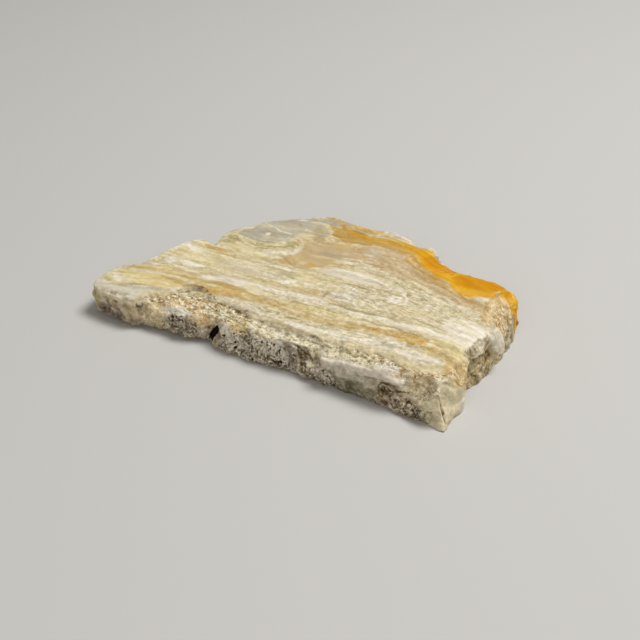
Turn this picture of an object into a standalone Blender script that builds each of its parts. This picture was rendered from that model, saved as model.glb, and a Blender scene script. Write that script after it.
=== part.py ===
"""A sawn slice of banded opal stone, about 61 mm long, lying on its flat underside.

The top is a level saw cut that falls a little towards the thin left tip. Round it runs a
wall of natural, broken rock: a granular ledge and a steep porous face along the front, a
knobbly broken end at +X with one slanting facet, and a lumpy crust along the curved back.
Metres, +Z up, +X along the straight front edge, +Y towards the back, origin at the middle
of the base.
"""

import math
from typing import NamedTuple

import bmesh
import bpy
from mathutils import Vector, geometry, noise

MM = 0.001

# Driving dimensions. Plan positions below are in millimetres from the front left corner.
FRONT_LENGTH = 60.0 * MM
TIP_THICKNESS = 5.2 * MM
END_THICKNESS = 7.0 * MM

# How finely the surface is drawn
WALL_STEP = 0.70 * MM
WALL_ROWS = 10
TOP_STEP = 1.35 * MM
BASE_STEP = 4.5 * MM
GRID_CLEARANCE = 0.75
CURVE_STEPS = 12
BROW_WEIGHT = 2.6

# Roughness of the broken wall
LUMP_SIZE = 4.2 * MM
LUMP_HEIGHT = 0.36 * MM
GRIT_SIZE = 1.7 * MM
GRIT_HEIGHT = 0.26 * MM
CHIP_SIZE = 2.6 * MM
CHIP_DEPTH = 0.38 * MM
EDGE_SHARE = 0.60

# Relief of the sawn top: harder bands stand proud of softer ones
BAND_PITCH = 3.1 * MM
BAND_WANDER = 1.6 * MM
BAND_WANDER_SIZE = 16.0 * MM
BAND_RELIEF = 0.06 * MM
TOP_WAVE_SIZE = 9.0 * MM
TOP_WAVE = 0.09 * MM

STONE_COLOUR = (0.68, 0.60, 0.44, 1.0)
STONE_ROUGHNESS = 0.55

# Sections of the wall, once round the slice seen from above, in millimetres: x and y of
# the rim of the sawn top; x, y and z of the brow, where the wall turns down; x and y of
# the foot, and how far a chipped foot is lifted off the table.
FRONT = (
    ((0.3, 0.9), (-0.3, 0.3, 3.4), (0.0, 1.0, 0.8)),
    ((1.3, -0.2), (1.2, -0.6, 3.6), (1.2, -0.3, 0.7)),
    ((2.9, -0.5), (2.9, -0.9, 3.4), (2.8, -0.4, 0.6)),
    ((5.0, -0.6), (5.0, -1.0, 3.4), (5.0, -0.6, 0.5)),
    ((7.2, -0.5), (7.2, -1.0, 3.6), (7.2, -0.7, 0.5)),
    ((8.8, -0.4), (8.9, -0.9, 3.9), (9.0, -0.5, 0.5)),
    ((9.6, 1.2), (10.2, 0.1, 4.5), (10.4, 0.2, 0.6)),
    ((11.2, 2.9), (12.0, 0.4, 4.6), (12.0, 0.5, 0.6)),
    ((13.0, 4.7), (13.8, 0.6, 4.6), (13.8, 0.6, 0.6)),
    ((15.4, 5.9), (15.8, 0.6, 4.7), (15.8, 0.4, 0.5)),
    ((18.4, 5.9), (18.4, 0.7, 4.8), (18.2, 0.7, 0.4)),
    ((20.8, 5.7), (20.8, 1.0, 4.7), (20.4, 1.6, 0.4)),
    ((23.2, 5.4), (23.3, 0.9, 4.9), (22.6, 1.1, 0.1)),
    ((25.8, 4.6), (26.0, 1.0, 5.2), (25.8, 0.9, 0.0)),
    ((28.8, 4.3), (28.9, 1.1, 5.2), (28.8, 0.9, 0.0)),
    ((32.0, 4.2), (32.0, 1.6, 5.3), (32.0, 1.0, 0.0)),
    ((35.3, 3.9), (35.2, 1.2, 5.2), (35.2, 1.1, 0.0)),
    ((38.4, 4.2), (38.2, 0.9, 4.9), (38.2, 1.1, 0.0)),
    ((42.2, 4.5), (42.2, 1.1, 5.4), (42.0, 1.1, 0.0)),
    ((45.3, 4.8), (45.6, 1.3, 5.6), (45.4, 1.1, 0.0)),
    ((47.8, 4.7), (48.2, 1.6, 5.6), (48.2, 1.1, 0.0)),
    ((50.2, 4.0), (50.9, 1.7, 5.4), (50.8, 0.8, 0.0)),
    ((52.6, 3.5), (53.2, 1.2, 4.9), (53.2, 0.6, 0.0)),
    ((55.4, 3.6), (55.8, 0.9, 4.6), (56.0, 0.4, 0.0)),
    ((57.1, 3.0), (57.7, 1.0, 4.9), (58.2, 0.2, 0.0)),
)
BROKEN_END = (
    ((57.9, 2.6), (58.8, 0.9, 4.2), (60.0, 0.1, 0.0)),
    ((58.5, 2.7), (59.3, 2.0, 3.8), (59.9, 2.0, 0.0)),
    ((59.3, 3.6), (60.3, 3.9, 4.6), (60.0, 4.2, 0.0)),
    ((60.2, 5.2), (60.6, 5.6, 4.2), (60.3, 6.2, 0.1)),
    ((60.2, 6.9), (59.9, 7.4, 4.0), (59.5, 8.3, 0.0)),
    ((59.5, 8.4), (59.5, 9.0, 3.6), (59.1, 10.1, 0.0)),
    ((59.4, 9.8), (59.3, 10.7, 3.2), (59.6, 11.8, 0.0)),
    ((60.1, 12.2), (59.8, 13.0, 3.4), (60.1, 14.2, 0.0)),
    ((59.6, 15.0), (60.4, 16.2, 3.6), (60.3, 16.8, 0.0)),
    ((58.6, 17.3), (60.8, 18.7, 3.4), (60.9, 19.2, 0.2)),
    ((57.2, 19.4), (60.9, 20.9, 3.4), (60.7, 21.2, 0.0)),
    ((56.3, 21.8), (60.6, 23.2, 3.7), (60.5, 23.4, 0.0)),
    ((56.5, 24.2), (60.3, 25.6, 4.3), (60.3, 25.6, 0.0)),
    ((57.2, 26.4), (60.0, 27.7, 4.6), (60.0, 27.4, 0.0)),
)
BACK = (
    ((57.6, 28.1), (59.3, 29.7, 4.3), (59.2, 29.0, 0.2)),
    ((56.0, 28.5), (56.4, 29.5, 4.2), (56.8, 29.3, 0.0)),
    ((53.0, 28.6), (53.2, 29.6, 4.4), (53.2, 29.4, 0.0)),
    ((49.8, 28.8), (50.0, 30.0, 4.6), (50.0, 30.2, 0.0)),
    ((46.6, 29.4), (47.4, 30.8, 4.8), (47.2, 31.2, 0.0)),
    ((44.4, 31.0), (44.9, 33.0, 5.4), (44.6, 32.6, 0.0)),
    ((42.0, 32.3), (42.6, 34.9, 5.7), (42.0, 33.8, 0.0)),
    ((39.4, 33.1), (39.7, 35.2, 5.6), (39.2, 34.8, 0.0)),
    ((36.8, 33.8), (36.8, 37.2, 5.6), (36.6, 36.0, 0.0)),
    ((34.4, 34.3), (34.3, 37.3, 5.6), (34.2, 36.3, 0.0)),
    ((31.6, 34.5), (31.4, 35.6, 4.8), (31.4, 35.6, 0.0)),
    ((28.8, 34.8), (28.6, 35.6, 4.4), (28.4, 35.4, 0.0)),
    ((26.6, 35.1), (26.2, 35.7, 4.4), (26.0, 35.4, 0.0)),
    ((24.4, 35.6), (24.0, 36.1, 4.2), (24.0, 35.8, 0.0)),
    ((21.5, 34.3), (21.0, 34.8, 4.0), (21.0, 34.4, 0.0)),
    ((18.6, 32.2), (18.0, 32.9, 4.0), (18.0, 32.2, 0.0)),
    ((15.1, 29.5), (14.5, 30.1, 3.8), (14.6, 29.4, 0.0)),
    ((12.4, 26.3), (11.6, 26.7, 3.8), (11.9, 26.0, 0.0)),
    ((10.4, 23.2), (9.6, 23.3, 3.8), (9.9, 22.8, 0.0)),
    ((10.3, 20.7), (9.8, 20.8, 3.6), (9.9, 20.9, 0.0)),
    ((10.3, 19.2), (9.5, 19.6, 3.4), (9.4, 19.8, 0.0)),
    ((8.9, 19.4), (8.2, 19.7, 3.4), (8.4, 19.3, 0.0)),
    ((7.4, 18.9), (6.7, 19.2, 3.4), (7.0, 18.8, 0.0)),
    ((5.6, 16.6), (4.9, 16.8, 3.2), (5.4, 16.4, 0.0)),
    ((4.4, 13.2), (3.6, 13.4, 3.0), (4.2, 13.2, 0.1)),
    ((3.7, 10.8), (3.0, 10.9, 3.0), (3.6, 10.8, 0.2)),
    ((3.8, 8.9), (3.0, 9.0, 3.0), (3.5, 9.0, 0.3)),
    ((2.4, 7.5), (1.9, 7.8, 3.0), (2.3, 7.8, 0.4)),
    ((0.6, 6.3), (0.2, 6.6, 3.0), (0.8, 6.6, 0.6)),
    ((0.1, 4.6), (-0.5, 4.8, 3.0), (0.1, 4.8, 0.7)),
    ((0.1, 2.6), (-0.6, 2.6, 3.2), (-0.1, 2.8, 0.8)),
)


class Form(NamedTuple):
    """A lump or a hollow: centre and radii in millimetres, and its height, negative in."""

    centre: tuple
    radii: tuple
    height: float


# Lumps and hollows of the wall, along its outward normal
WALL_FORMS = {
    "smooth swelling, front right": Form((46.0, 1.2, 4.4), (5.0, 3.0, 1.6), 0.55),
    "nose of the swelling": Form((50.4, 2.2, 5.4), (1.7, 1.4, 1.0), 0.80),
    "crack under the nose": Form((50.6, 0.9, 4.0), (1.6, 2.0, 0.6), -0.85),
    "crack beside the corner": Form((49.6, 0.8, 2.4), (0.7, 2.0, 1.4), -0.60),
    "pebble at the foot": Form((51.3, 0.7, 1.2), (0.6, 1.2, 0.6), 0.35),
    "porous swelling, front middle": Form((30.0, 1.0, 3.4), (4.6, 3.0, 1.8), 0.30),
    "dark facet beside it": Form((35.8, 1.0, 3.4), (1.1, 2.0, 1.8), -0.75),
    "brown hollow": Form((38.6, 1.0, 3.8), (1.3, 2.0, 1.4), -0.70),
    "porous swelling, front left": Form((15.6, 0.6, 3.0), (3.2, 2.5, 1.4), 0.35),
    "whitish lump on the ledge": Form((16.6, 2.4, 5.0), (2.4, 1.4, 1.0), 0.35),
    "bite out of the front edge": Form((21.7, 0.9, 2.6), (0.9, 1.8, 1.6), -1.80),
    "lip over the bite": Form((22.6, 0.9, 4.8), (1.6, 1.6, 0.7), 0.30),
    "step on the ledge": Form((23.0, 4.0, 5.6), (3.4, 0.8, 0.9), -0.50),
    "step on the ledge, middle": Form((34.0, 3.0, 5.8), (6.0, 0.7, 0.9), -0.40),
    "corner block": Form((57.0, 0.8, 3.6), (1.6, 1.6, 1.4), 0.35),
    "corner groove": Form((59.0, 1.9, 3.8), (0.7, 0.9, 3.2), -0.80),
    "crack over the white facet": Form((58.8, 2.6, 6.6), (1.0, 0.8, 0.7), -0.60),
    "lower ledge, broken end": Form((60.4, 6.4, 2.2), (1.5, 1.3, 1.2), 0.45),
    "undercut, broken end": Form((59.6, 8.6, 2.4), (1.5, 1.2, 1.2), -0.60),
    "hollow, broken end": Form((59.6, 11.6, 4.9), (1.8, 1.8, 1.5), -1.20),
    "knob below the hollow": Form((60.3, 12.6, 1.8), (1.5, 1.3, 1.0), 0.55),
    "lumps below the knob": Form((60.6, 15.6, 2.2), (1.5, 1.2, 1.0), 0.60),
    "crack beside the knob": Form((60.2, 14.4, 3.8), (1.4, 0.8, 1.6), -0.50),
    "white knob, broken end": Form((60.0, 17.4, 4.8), (1.8, 1.1, 2.6), 0.90),
    "crust knob, back middle": Form((34.8, 36.6, 5.0), (2.0, 1.6, 1.4), 0.40),
    "crust knob, back right": Form((42.6, 34.4, 5.0), (1.5, 1.4, 1.3), 0.40),
    "crust saddle, back": Form((39.6, 35.0, 4.8), (1.2, 1.6, 1.6), -0.45),
    "crust hollow, back": Form((29.6, 35.6, 3.4), (2.2, 2.0, 2.0), -0.60),
    "crust knob, back left": Form((17.6, 32.2, 3.2), (2.4, 2.0, 1.8), 0.45),
    "hollow, left": Form((9.6, 20.2, 3.2), (1.2, 1.0, 1.8), -0.50),
}

# Rises and dips of the sawn top, straight up
TOP_FORMS = {
    "crack above the knob": Form((58.4, 17.2, 0.0), (1.4, 0.9, 0.0), -0.30),
    "dip over the hollow": Form((59.8, 10.2, 0.0), (1.3, 1.5, 0.0), -0.70),
    "low block by the near corner": Form((60.4, 5.2, 0.0), (2.2, 2.4, 0.0), -0.90),
    "worn near corner": Form((58.4, 1.6, 0.0), (2.4, 1.8, 0.0), -0.80),
    "worn front right": Form((53.8, 3.0, 0.0), (3.4, 1.4, 0.0), -0.40),
    "rounded back corner": Form((57.8, 28.6, 0.0), (1.8, 1.8, 0.0), -0.40),
    "worn bevel, back right": Form((51.0, 29.4, 0.0), (7.0, 0.9, 0.0), -0.30),
    "worn facet, front left": Form((4.5, -1.2, 0.0), (6.0, 2.4, 0.0), -0.60),
    "step, front left": Form((16.4, 6.0, 0.0), (4.2, 1.2, 0.0), -0.35),
    "chip at the back notch": Form((10.6, 19.4, 0.0), (1.3, 1.0, 0.0), -0.50),
}


def smooth_loop(sections):
    """Returns a dense closed Catmull-Rom curve through rows of numbers."""
    rows = [[value for place in section for value in place] for section in sections]
    count, curve = len(rows), []
    for i in range(count):
        four = [rows[(i + k) % count] for k in (-1, 0, 1, 2)]
        for step in range(CURVE_STEPS):
            t = step / CURVE_STEPS
            curve.append(
                [
                    0.5 * (2 * b + (c - a) * t + (2 * a - 5 * b + 4 * c - d) * t * t
                           + (3 * b - a - 3 * c + d) * t**3)
                    for a, b, c, d in zip(*four)
                ]
            )
    return [*curve, curve[0]]


def length_of(curve):
    """Returns the length of a curve of rows of numbers."""
    return sum(math.dist(a, b) for a, b in zip(curve, curve[1:]))


def even_points(curve, count):
    """Returns count points evenly spaced along a dense curve, its last point left out."""
    spaced, k, done = [], 0, 0.0
    length = length_of(curve)
    for i in range(count):
        goal = length * i / count
        piece = math.dist(curve[k], curve[k + 1])
        while done + piece < goal:
            done += piece
            k += 1
            piece = math.dist(curve[k], curve[k + 1])
        share = (goal - done) / max(piece, 1e-9)
        spaced.append([p + (q - p) * share for p, q in zip(curve[k], curve[k + 1])])
    return spaced


def saw_plane(x):
    """Returns the height of the sawn top at x."""
    return TIP_THICKNESS + (END_THICKNESS - TIP_THICKNESS) * x / FRONT_LENGTH


def bell(point, form, flat=False):
    """Returns the height of a lump or hollow at point, in metres."""
    total = 0.0
    for value, centre, radius in zip(point, form.centre, form.radii):
        if not (flat and radius == 0.0):
            total += ((value / MM - centre) / radius) ** 2
    return form.height * MM * math.exp(-total)


def wall_relief(point):
    """Returns how far the broken wall stands out at point."""
    lumps = noise.fractal(point / LUMP_SIZE, 0.9, 2.1, 3) * LUMP_HEIGHT
    grit = noise.noise(point / GRIT_SIZE + Vector((7.0, 3.0, 1.0))) * GRIT_HEIGHT
    distances, _ = noise.voronoi(point / CHIP_SIZE)
    chips = -CHIP_DEPTH * max(0.0, 1.0 - 3.0 * (distances[1] - distances[0]))
    forms = sum(bell(point, form) for form in WALL_FORMS.values())
    return lumps + grit + chips + forms


def top_relief(x, y):
    """Returns how far the sawn top stands over its plane at x, y."""
    place = Vector((x, y, 0.0))
    wander = noise.noise(place / BAND_WANDER_SIZE) * BAND_WANDER
    bands = math.sin((y + wander) / BAND_PITCH * math.tau) * BAND_RELIEF
    waves = noise.noise(place / TOP_WAVE_SIZE + Vector((2.0, 5.0, 9.0))) * TOP_WAVE
    forms = sum(bell((x, y), form, flat=True) for form in TOP_FORMS.values())
    return bands + waves + forms


def wall_profile(rim, brow, foot):
    """Returns the wall from rim to foot, turning down round the brow, as even points."""
    curve = []
    for step in range(3 * CURVE_STEPS + 1):
        t = step / (3 * CURVE_STEPS)
        shares = ((1 - t) ** 2, 2 * BROW_WEIGHT * t * (1 - t), t * t)
        place = rim * shares[0] + brow * shares[1] + foot * shares[2]
        curve.append(place / sum(shares))
    return [Vector(place) for place in even_points(curve, WALL_ROWS)] + [foot]


def smooth_wall():
    """Returns the wall without its roughness: a list of columns of points, rim first."""
    loop = smooth_loop([*FRONT, *BROKEN_END, *BACK])
    # A row of numbers holds three places, so it moves by about root three times one place.
    count = round(length_of(loop) * MM / math.sqrt(3) / WALL_STEP)
    columns = []
    for rx, ry, bx, by, bz, fx, fy, lift in even_points(loop, count):
        rim = Vector((rx, ry, 0.0)) * MM
        rim.z = saw_plane(rim.x)
        brow = Vector((bx, by, bz)) * MM
        foot = Vector((fx, fy, max(lift, 0.0))) * MM
        columns.append(wall_profile(rim, brow, foot))
    return columns


def rough_wall(columns):
    """Returns the columns with lumps, chips and grit along the wall's own normal."""
    count, rough = len(columns), []
    for i, column in enumerate(columns):
        before, after = columns[i - 1], columns[(i + 1) % count]
        moved = []
        for row, point in enumerate(column):
            down = column[min(row + 1, WALL_ROWS)] - column[max(row - 1, 0)]
            normal = down.cross(after[row] - before[row]).normalized()
            at_edge = row in (0, WALL_ROWS)
            if at_edge:
                normal = Vector((normal.x, normal.y, 0.0)).normalized()
            share = EDGE_SHARE if at_edge else 1.0
            place = point + normal * wall_relief(point) * share
            if row == 0:
                place.z += top_relief(place.x, place.y)
            place.z = max(place.z, column[-1].z)
            moved.append(place)
        rough.append(moved)
    return rough


def grid_inside(outline, step):
    """Returns a staggered grid of plan points inside an outline, clear of its edge."""
    xs, ys = [p.x for p in outline], [p.y for p in outline]
    found, row_height = [], step * math.sqrt(3) / 2
    for j in range(1, int((max(ys) - min(ys)) / row_height) + 1):
        for i in range(int((max(xs) - min(xs)) / step) + 1):
            point = Vector((min(xs) + (i + 0.5 * (j % 2)) * step, min(ys) + j * row_height))
            if is_inside(point, outline, step * GRID_CLEARANCE):
                found.append(point)
    return found


def is_inside(point, outline, clearance):
    """Returns whether a plan point lies inside an outline and that far from its edge."""
    inside = False
    for a, b in zip(outline, [*outline[1:], outline[0]]):
        nearest, share = geometry.intersect_point_line(point, a, b)
        nearest = a.lerp(b, min(max(share, 0.0), 1.0))
        if (point - nearest.xy).length < clearance:
            return False
        if (a.y > point.y) != (b.y > point.y):
            inside ^= point.x < (b.x - a.x) * (point.y - a.y) / (b.y - a.y) + a.x
    return inside


def fill(mesh, ring, step, height, upward):
    """Closes a ring of vertices with a sheet whose inner points lie at height(x, y)."""
    outline = [vertex.co.xy for vertex in ring]
    inner = grid_inside(outline, step)
    points, _, faces, *_ = geometry.delaunay_2d_cdt(
        outline + inner, [], [list(range(len(outline)))], 1, 1e-9
    )
    vertices = list(ring)
    for point in points[len(ring) :]:
        vertices.append(mesh.verts.new((point.x, point.y, height(point.x, point.y))))
    for face in faces:
        corners = [vertices[k] for k in face]
        mesh.faces.new(corners if upward else corners[::-1])


def build_slice():
    """Makes the slice as one closed mesh and returns its object."""
    mesh = bmesh.new()
    columns = [[mesh.verts.new(p) for p in c] for c in rough_wall(smooth_wall())]
    for column, following in zip(columns, [*columns[1:], columns[0]]):
        for row in range(WALL_ROWS):
            corners = (column[row], column[row + 1], following[row + 1], following[row])
            mesh.faces.new(corners)
    rim = [column[0] for column in columns]
    foot = [column[-1] for column in columns]
    fill(mesh, rim, TOP_STEP, lambda x, y: saw_plane(x) + top_relief(x, y), upward=True)
    fill(mesh, foot, BASE_STEP, lambda x, y: 0.0, upward=False)
    bmesh.ops.triangulate(mesh, faces=mesh.faces[:], quad_method="BEAUTY")
    centre_on_base(mesh)
    data = bpy.data.meshes.new("hokkaidoite_slice")
    mesh.to_mesh(data)
    mesh.free()
    data.shade_smooth()
    data.set_sharp_from_angle(angle=math.radians(35.0))
    data.materials.append(stone_material())
    stone = bpy.data.objects.new("hokkaidoite_slice", data)
    bpy.context.scene.collection.objects.link(stone)
    return stone


def centre_on_base(mesh):
    """Moves the mesh so that the origin is at the middle of its base."""
    places = [vertex.co for vertex in mesh.verts]
    middle = [(min(p[k] for p in places) + max(p[k] for p in places)) / 2 for k in (0, 1)]
    bmesh.ops.translate(mesh, vec=(-middle[0], -middle[1], 0.0), verts=mesh.verts[:])


def stone_material():
    """Returns the plain cream colour of the banded opal."""
    material = bpy.data.materials.new("banded_opal")
    material.use_nodes = True
    shader = material.node_tree.nodes["Principled BSDF"]
    shader.inputs["Base Color"].default_value = STONE_COLOUR
    shader.inputs["Roughness"].default_value = STONE_ROUGHNESS
    shader.inputs["Metallic"].default_value = 0.0
    return material


for old in list(bpy.data.objects):
    bpy.data.objects.remove(old)
build_slice()
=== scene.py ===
"""Looks of the hokkaidoite slice: banded common opal, sawn on top and broken all round.

One closed stone stands for the CAD solid. Its mesh is the solid drawn again with points a
fifth of a millimetre apart, roughened with grains, pits, cracks and saw marks. The kinds of opal
are laid on its points one over the other, mark by mark, with painted shade low on the front wall,
and each point carries the colour that results. One stone finish adds gloss, fine veins, grains,
dirt, painted shade in hollows, pores and cracks, and painted highlight on edges.

Places below are in millimetres from the front left corner of the slice: x along the straight
front edge, y towards the back, z up from the table. Blender's own units are metres.
"""

import logging
import math
from collections.abc import Sequence
from dataclasses import dataclass, field
from enum import Enum
from typing import ClassVar

import bmesh
import bpy
import numpy as np
from bpy.types import Mesh, NodeSocket, NodeTree
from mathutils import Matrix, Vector


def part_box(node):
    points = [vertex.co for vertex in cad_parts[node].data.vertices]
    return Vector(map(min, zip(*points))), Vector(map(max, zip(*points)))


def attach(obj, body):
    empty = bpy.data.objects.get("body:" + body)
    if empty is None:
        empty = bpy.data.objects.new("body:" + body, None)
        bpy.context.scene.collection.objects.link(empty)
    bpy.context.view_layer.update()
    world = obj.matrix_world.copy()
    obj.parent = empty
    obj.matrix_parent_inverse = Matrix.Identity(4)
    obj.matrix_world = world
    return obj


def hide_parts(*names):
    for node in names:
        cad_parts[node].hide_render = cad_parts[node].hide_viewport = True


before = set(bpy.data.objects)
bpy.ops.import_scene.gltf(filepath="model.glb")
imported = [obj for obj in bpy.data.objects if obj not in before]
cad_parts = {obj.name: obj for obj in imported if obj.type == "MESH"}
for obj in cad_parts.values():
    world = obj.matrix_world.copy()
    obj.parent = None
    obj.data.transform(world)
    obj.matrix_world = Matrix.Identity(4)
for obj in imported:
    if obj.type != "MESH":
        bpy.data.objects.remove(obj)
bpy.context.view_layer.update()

MM = 0.001
STONE_NODE = "hokkaidoite_slice"

# Where the front left corner lies from the low corner of the stone's box, in millimetres
CORNER_OFFSET = (0.33, 0.95)

# The saw cut: its height at the tip and its rise over the length, in millimetres
TIP_THICKNESS = 5.2
TOP_RISE = 1.8
FRONT_LENGTH = 60.0

log = logging.getLogger("slice")

Path = tuple[float, ...]

# Where something goes from none to all; the first may be the larger of the two
Range = tuple[float, float]

# A size or a place on each axis
Triple = tuple[float, float, float]

# Red, green, blue and alpha, in linear light
Colour = tuple[float, float, float, float]

# Sockets of a finish by name
Given = dict[str, NodeSocket]

# Sockets of a Mix node, by number as their names repeat: its share, and what it mixes and gives
SHARE = 0
UNDER, OVER, MIXED = 6, 7, 2
UNDER_PLACE, OVER_PLACE, MIXED_PLACE = 4, 5, 1


def linear(hex_colour: str) -> Colour:
    """Turns an sRGB hex colour into linear light.

    Args:
        hex_colour: six hex digits, such as "D98E0B".

    Returns:
        Red, green, blue and an alpha of 1.
    """
    parts = [int(hex_colour[k : k + 2], 16) / 255 for k in (0, 2, 4)]
    light = [p / 12.92 if p <= 0.04045 else ((p + 0.055) / 1.055) ** 2.4 for p in parts]
    return (light[0], light[1], light[2], 1.0)


def ease(low: float, high: float, values: np.ndarray) -> np.ndarray:
    """Returns a smooth step from 0 at low to 1 at high; low may be the larger of the two."""
    share = np.clip((values - low) / (high - low), 0.0, 1.0)
    return share * share * (3.0 - 2.0 * share)


def saw_plane(x: np.ndarray) -> np.ndarray:
    """Returns the height of the saw cut at x, in millimetres."""
    return TIP_THICKNESS + TOP_RISE * x / FRONT_LENGTH


class Noise:
    """Smooth solid noise, the same each run."""

    TABLE: ClassVar[int] = 256
    # Brings the noise to about -1 to 1
    GAIN: ClassVar[float] = 1.6
    # Keeps the octaves, and the two numbers of a grain, from looking alike
    OCTAVE_SHIFT: ClassVar[float] = 11.3
    LOT_SHIFT: ClassVar[int] = 77
    # A distance that every grain beats, in sizes
    FAR_OFF: ClassVar[float] = 9.0

    def __init__(self, seed: int) -> None:
        """Draws the table of gradients.

        Args:
            seed: picks the pattern.
        """
        draws = np.random.default_rng(seed)
        self.order = draws.permutation(self.TABLE)
        arrows = draws.normal(size=(self.TABLE, 3))
        self.arrows = arrows / np.linalg.norm(arrows, axis=1, keepdims=True)

    def _hash(self, cells: np.ndarray) -> np.ndarray:
        """Picks a place in the table of gradients for each cell.

        Args:
            cells: whole numbers, three a row.

        Returns:
            One index for each cell.
        """
        last = self.TABLE - 1
        first = self.order[cells[:, 0] & last]
        second = self.order[(first + cells[:, 1]) & last]
        return self.order[(second + cells[:, 2]) & last]

    def at(self, places: np.ndarray, size: float | Triple) -> np.ndarray:
        """Returns gradient noise, about -1 to 1.

        Args:
            places: points, one a row.
            size: width of one swell, the same on every axis or one for each.

        Returns:
            One value for each point.
        """
        scaled = places / np.asarray(size, float)
        cells = np.floor(scaled).astype(int)
        inside = scaled - cells
        faded = inside * inside * inside * (inside * (inside * 6 - 15) + 10)
        total = np.zeros(len(places))
        for corner in np.ndindex(2, 2, 2):
            offset = np.array(corner)
            arrows = self.arrows[self._hash(cells + offset)]
            rise = ((inside - offset) * arrows).sum(axis=1)
            weight = np.where(offset, faded, 1.0 - faded).prod(axis=1)
            total += rise * weight
        return total * self.GAIN

    def layered(self, places: np.ndarray, size: float | Triple, octaves: int) -> np.ndarray:
        """Adds finer noise to the noise: each octave has half the size and height.

        Args:
            places: points, one a row.
            size: width of the widest swell.
            octaves: how many there are.

        Returns:
            One value for each point.
        """
        total = np.zeros(len(places))
        for octave in range(octaves):
            share = 0.5**octave
            shifted = places + self.OCTAVE_SHIFT * octave
            total += self.at(shifted, np.asarray(size, float) * share) * share
        return total

    def cells(self, places: np.ndarray, size: float) -> tuple[np.ndarray, np.ndarray, np.ndarray]:
        """Returns scattered grains.

        Args:
            places: points, one a row.
            size: mean distance between grains.

        Returns:
            Distance to the nearest grain, to the next one, both in sizes, and a number from 0
            to 1 that belongs to the nearest grain.
        """
        scaled = places / size
        base = np.floor(scaled).astype(int)
        nearest = np.full(len(places), self.FAR_OFF)
        second = np.full(len(places), self.FAR_OFF)
        lot = np.zeros(len(places))
        for offset in np.ndindex(3, 3, 3):
            cell = base + np.array(offset) - 1
            pick = self._hash(cell)
            centre = cell + 0.5 + 0.5 * self.arrows[pick]
            apart = np.linalg.norm(scaled - centre, axis=1)
            closer = apart < nearest
            second = np.where(closer, nearest, np.minimum(second, apart))
            drawn = self.order[(pick + self.LOT_SHIFT) % self.TABLE] / self.TABLE
            lot = np.where(closer, drawn, lot)
            nearest = np.minimum(nearest, apart)
        return nearest, second, lot


def add_node(
    tree: NodeTree, kind: str, inputs: dict | None = None, **settings: object
) -> bpy.types.Node:
    """Adds a node with its settings and its links.

    Args:
        tree: the material's node tree.
        kind: the node's type, without its ShaderNode prefix.
        inputs: for each input's name or number, a socket to link or a value to set.
        settings: values of the node's own options.

    Returns:
        The node.
    """
    node = tree.nodes.new("ShaderNode" + kind)
    for name, value in settings.items():
        setattr(node, name, value)
    for name, value in (inputs or {}).items():
        if isinstance(value, NodeSocket):
            tree.links.new(value, node.inputs[name])
        else:
            node.inputs[name].default_value = value
    return node


@dataclass(frozen=True)
class Tint:
    """The two colours that one kind of opal or crust wavers between, and how it meets others.

    Fray is how far streaks break its edge up. Streaky kinds waver along the growth layers, and
    the rest waver from grain to grain.
    """

    pale: str
    deep: str
    fray: float
    streaky: bool = True


class Opal(Enum):
    """The kinds of opal and of crust."""

    CREAM = Tint("E6D9B4", "CDBB8C", 0.6)
    BUTTER = Tint("EADAA4", "D4BC7E", 0.4)
    MILK = Tint("F9F0DD", "DACDB2", 0.55)
    PEARL = Tint("F0E6D8", "CFC1AC", 0.35)
    GREY = Tint("DCD3BE", "B8AB90", 0.4)
    SLATE = Tint("D2CAB4", "ACA490", 0.4)
    GLASS = Tint("BEB18E", "A19372", 0.35)
    OLIVE = Tint("D0C391", "B0A26E", 0.5)
    TAN = Tint("D8C088", "BEA064", 0.5)
    OCHRE = Tint("DAB972", "C29A4C", 0.45)
    BLUSH = Tint("D2BA92", "B99E6F", 0.4)
    PEACH = Tint("E3C690", "C29E66", 0.5, False)
    HONEY = Tint("D0AC60", "B28C44", 0.35)
    GOLD = Tint("E6AE12", "D09600", 0.25)
    AMBER = Tint("DE9A00", "C88600", 0.25)
    CRUST = Tint("DFD0B0", "99855F", 0.4, False)
    ASHEN = Tint("ECE2CE", "9A8A6C", 0.5, False)
    PLUM = Tint("A4917A", "6E5D4C", 0.5, False)
    MOSS = Tint("9A9272", "6E6A52", 0.4, False)
    EARTH = Tint("9C8358", "54411F", 0.5, False)
    RUST = Tint("AE7F49", "70492A", 0.5, False)


class Face(Enum):
    """The side that a mark is drawn on, which sets what its two numbers measure."""

    PLAN = "x and y, all the way down"
    LEDGE = "x and y, on the broken shelf in front"
    FRONT = "x and z, on the front wall"
    END = "y and z, on the broken end"


# The sides by name, as the tables of marks give them
PLAN, LEDGE, FRONT, END = Face


@dataclass(frozen=True)
class Mark:
    """Something laid on one side of the stone along a path.

    The path is x and y of each of its stops in turn, or the two numbers of its side. Deep moves
    the colour from the middle of the tint towards the deep end, or the pale one below zero.
    """

    path: Path
    width: float
    strength: float = 1.0
    deep: float = 0.0

    def amount(self, flat: np.ndarray) -> np.ndarray:
        """Returns the strength at each point of the side that the mark is drawn on.

        Args:
            flat: the two numbers of each point on that side.

        Returns:
            From 0 to the mark's strength.
        """
        stops = np.reshape(self.path, (-1, 2))
        reach = 2.0 * self.width
        near = ((flat > stops.min(axis=0) - reach) & (flat < stops.max(axis=0) + reach)).all(axis=1)
        total = np.zeros(len(flat))
        if near.any():
            total[near] = self.strength * self._shape(flat[near], stops)
        return total

    def _shape(self, flat: np.ndarray, stops: np.ndarray) -> np.ndarray:
        """Returns how much of the mark there is at points near its stops, from 0 to 1."""
        raise NotImplementedError


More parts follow.
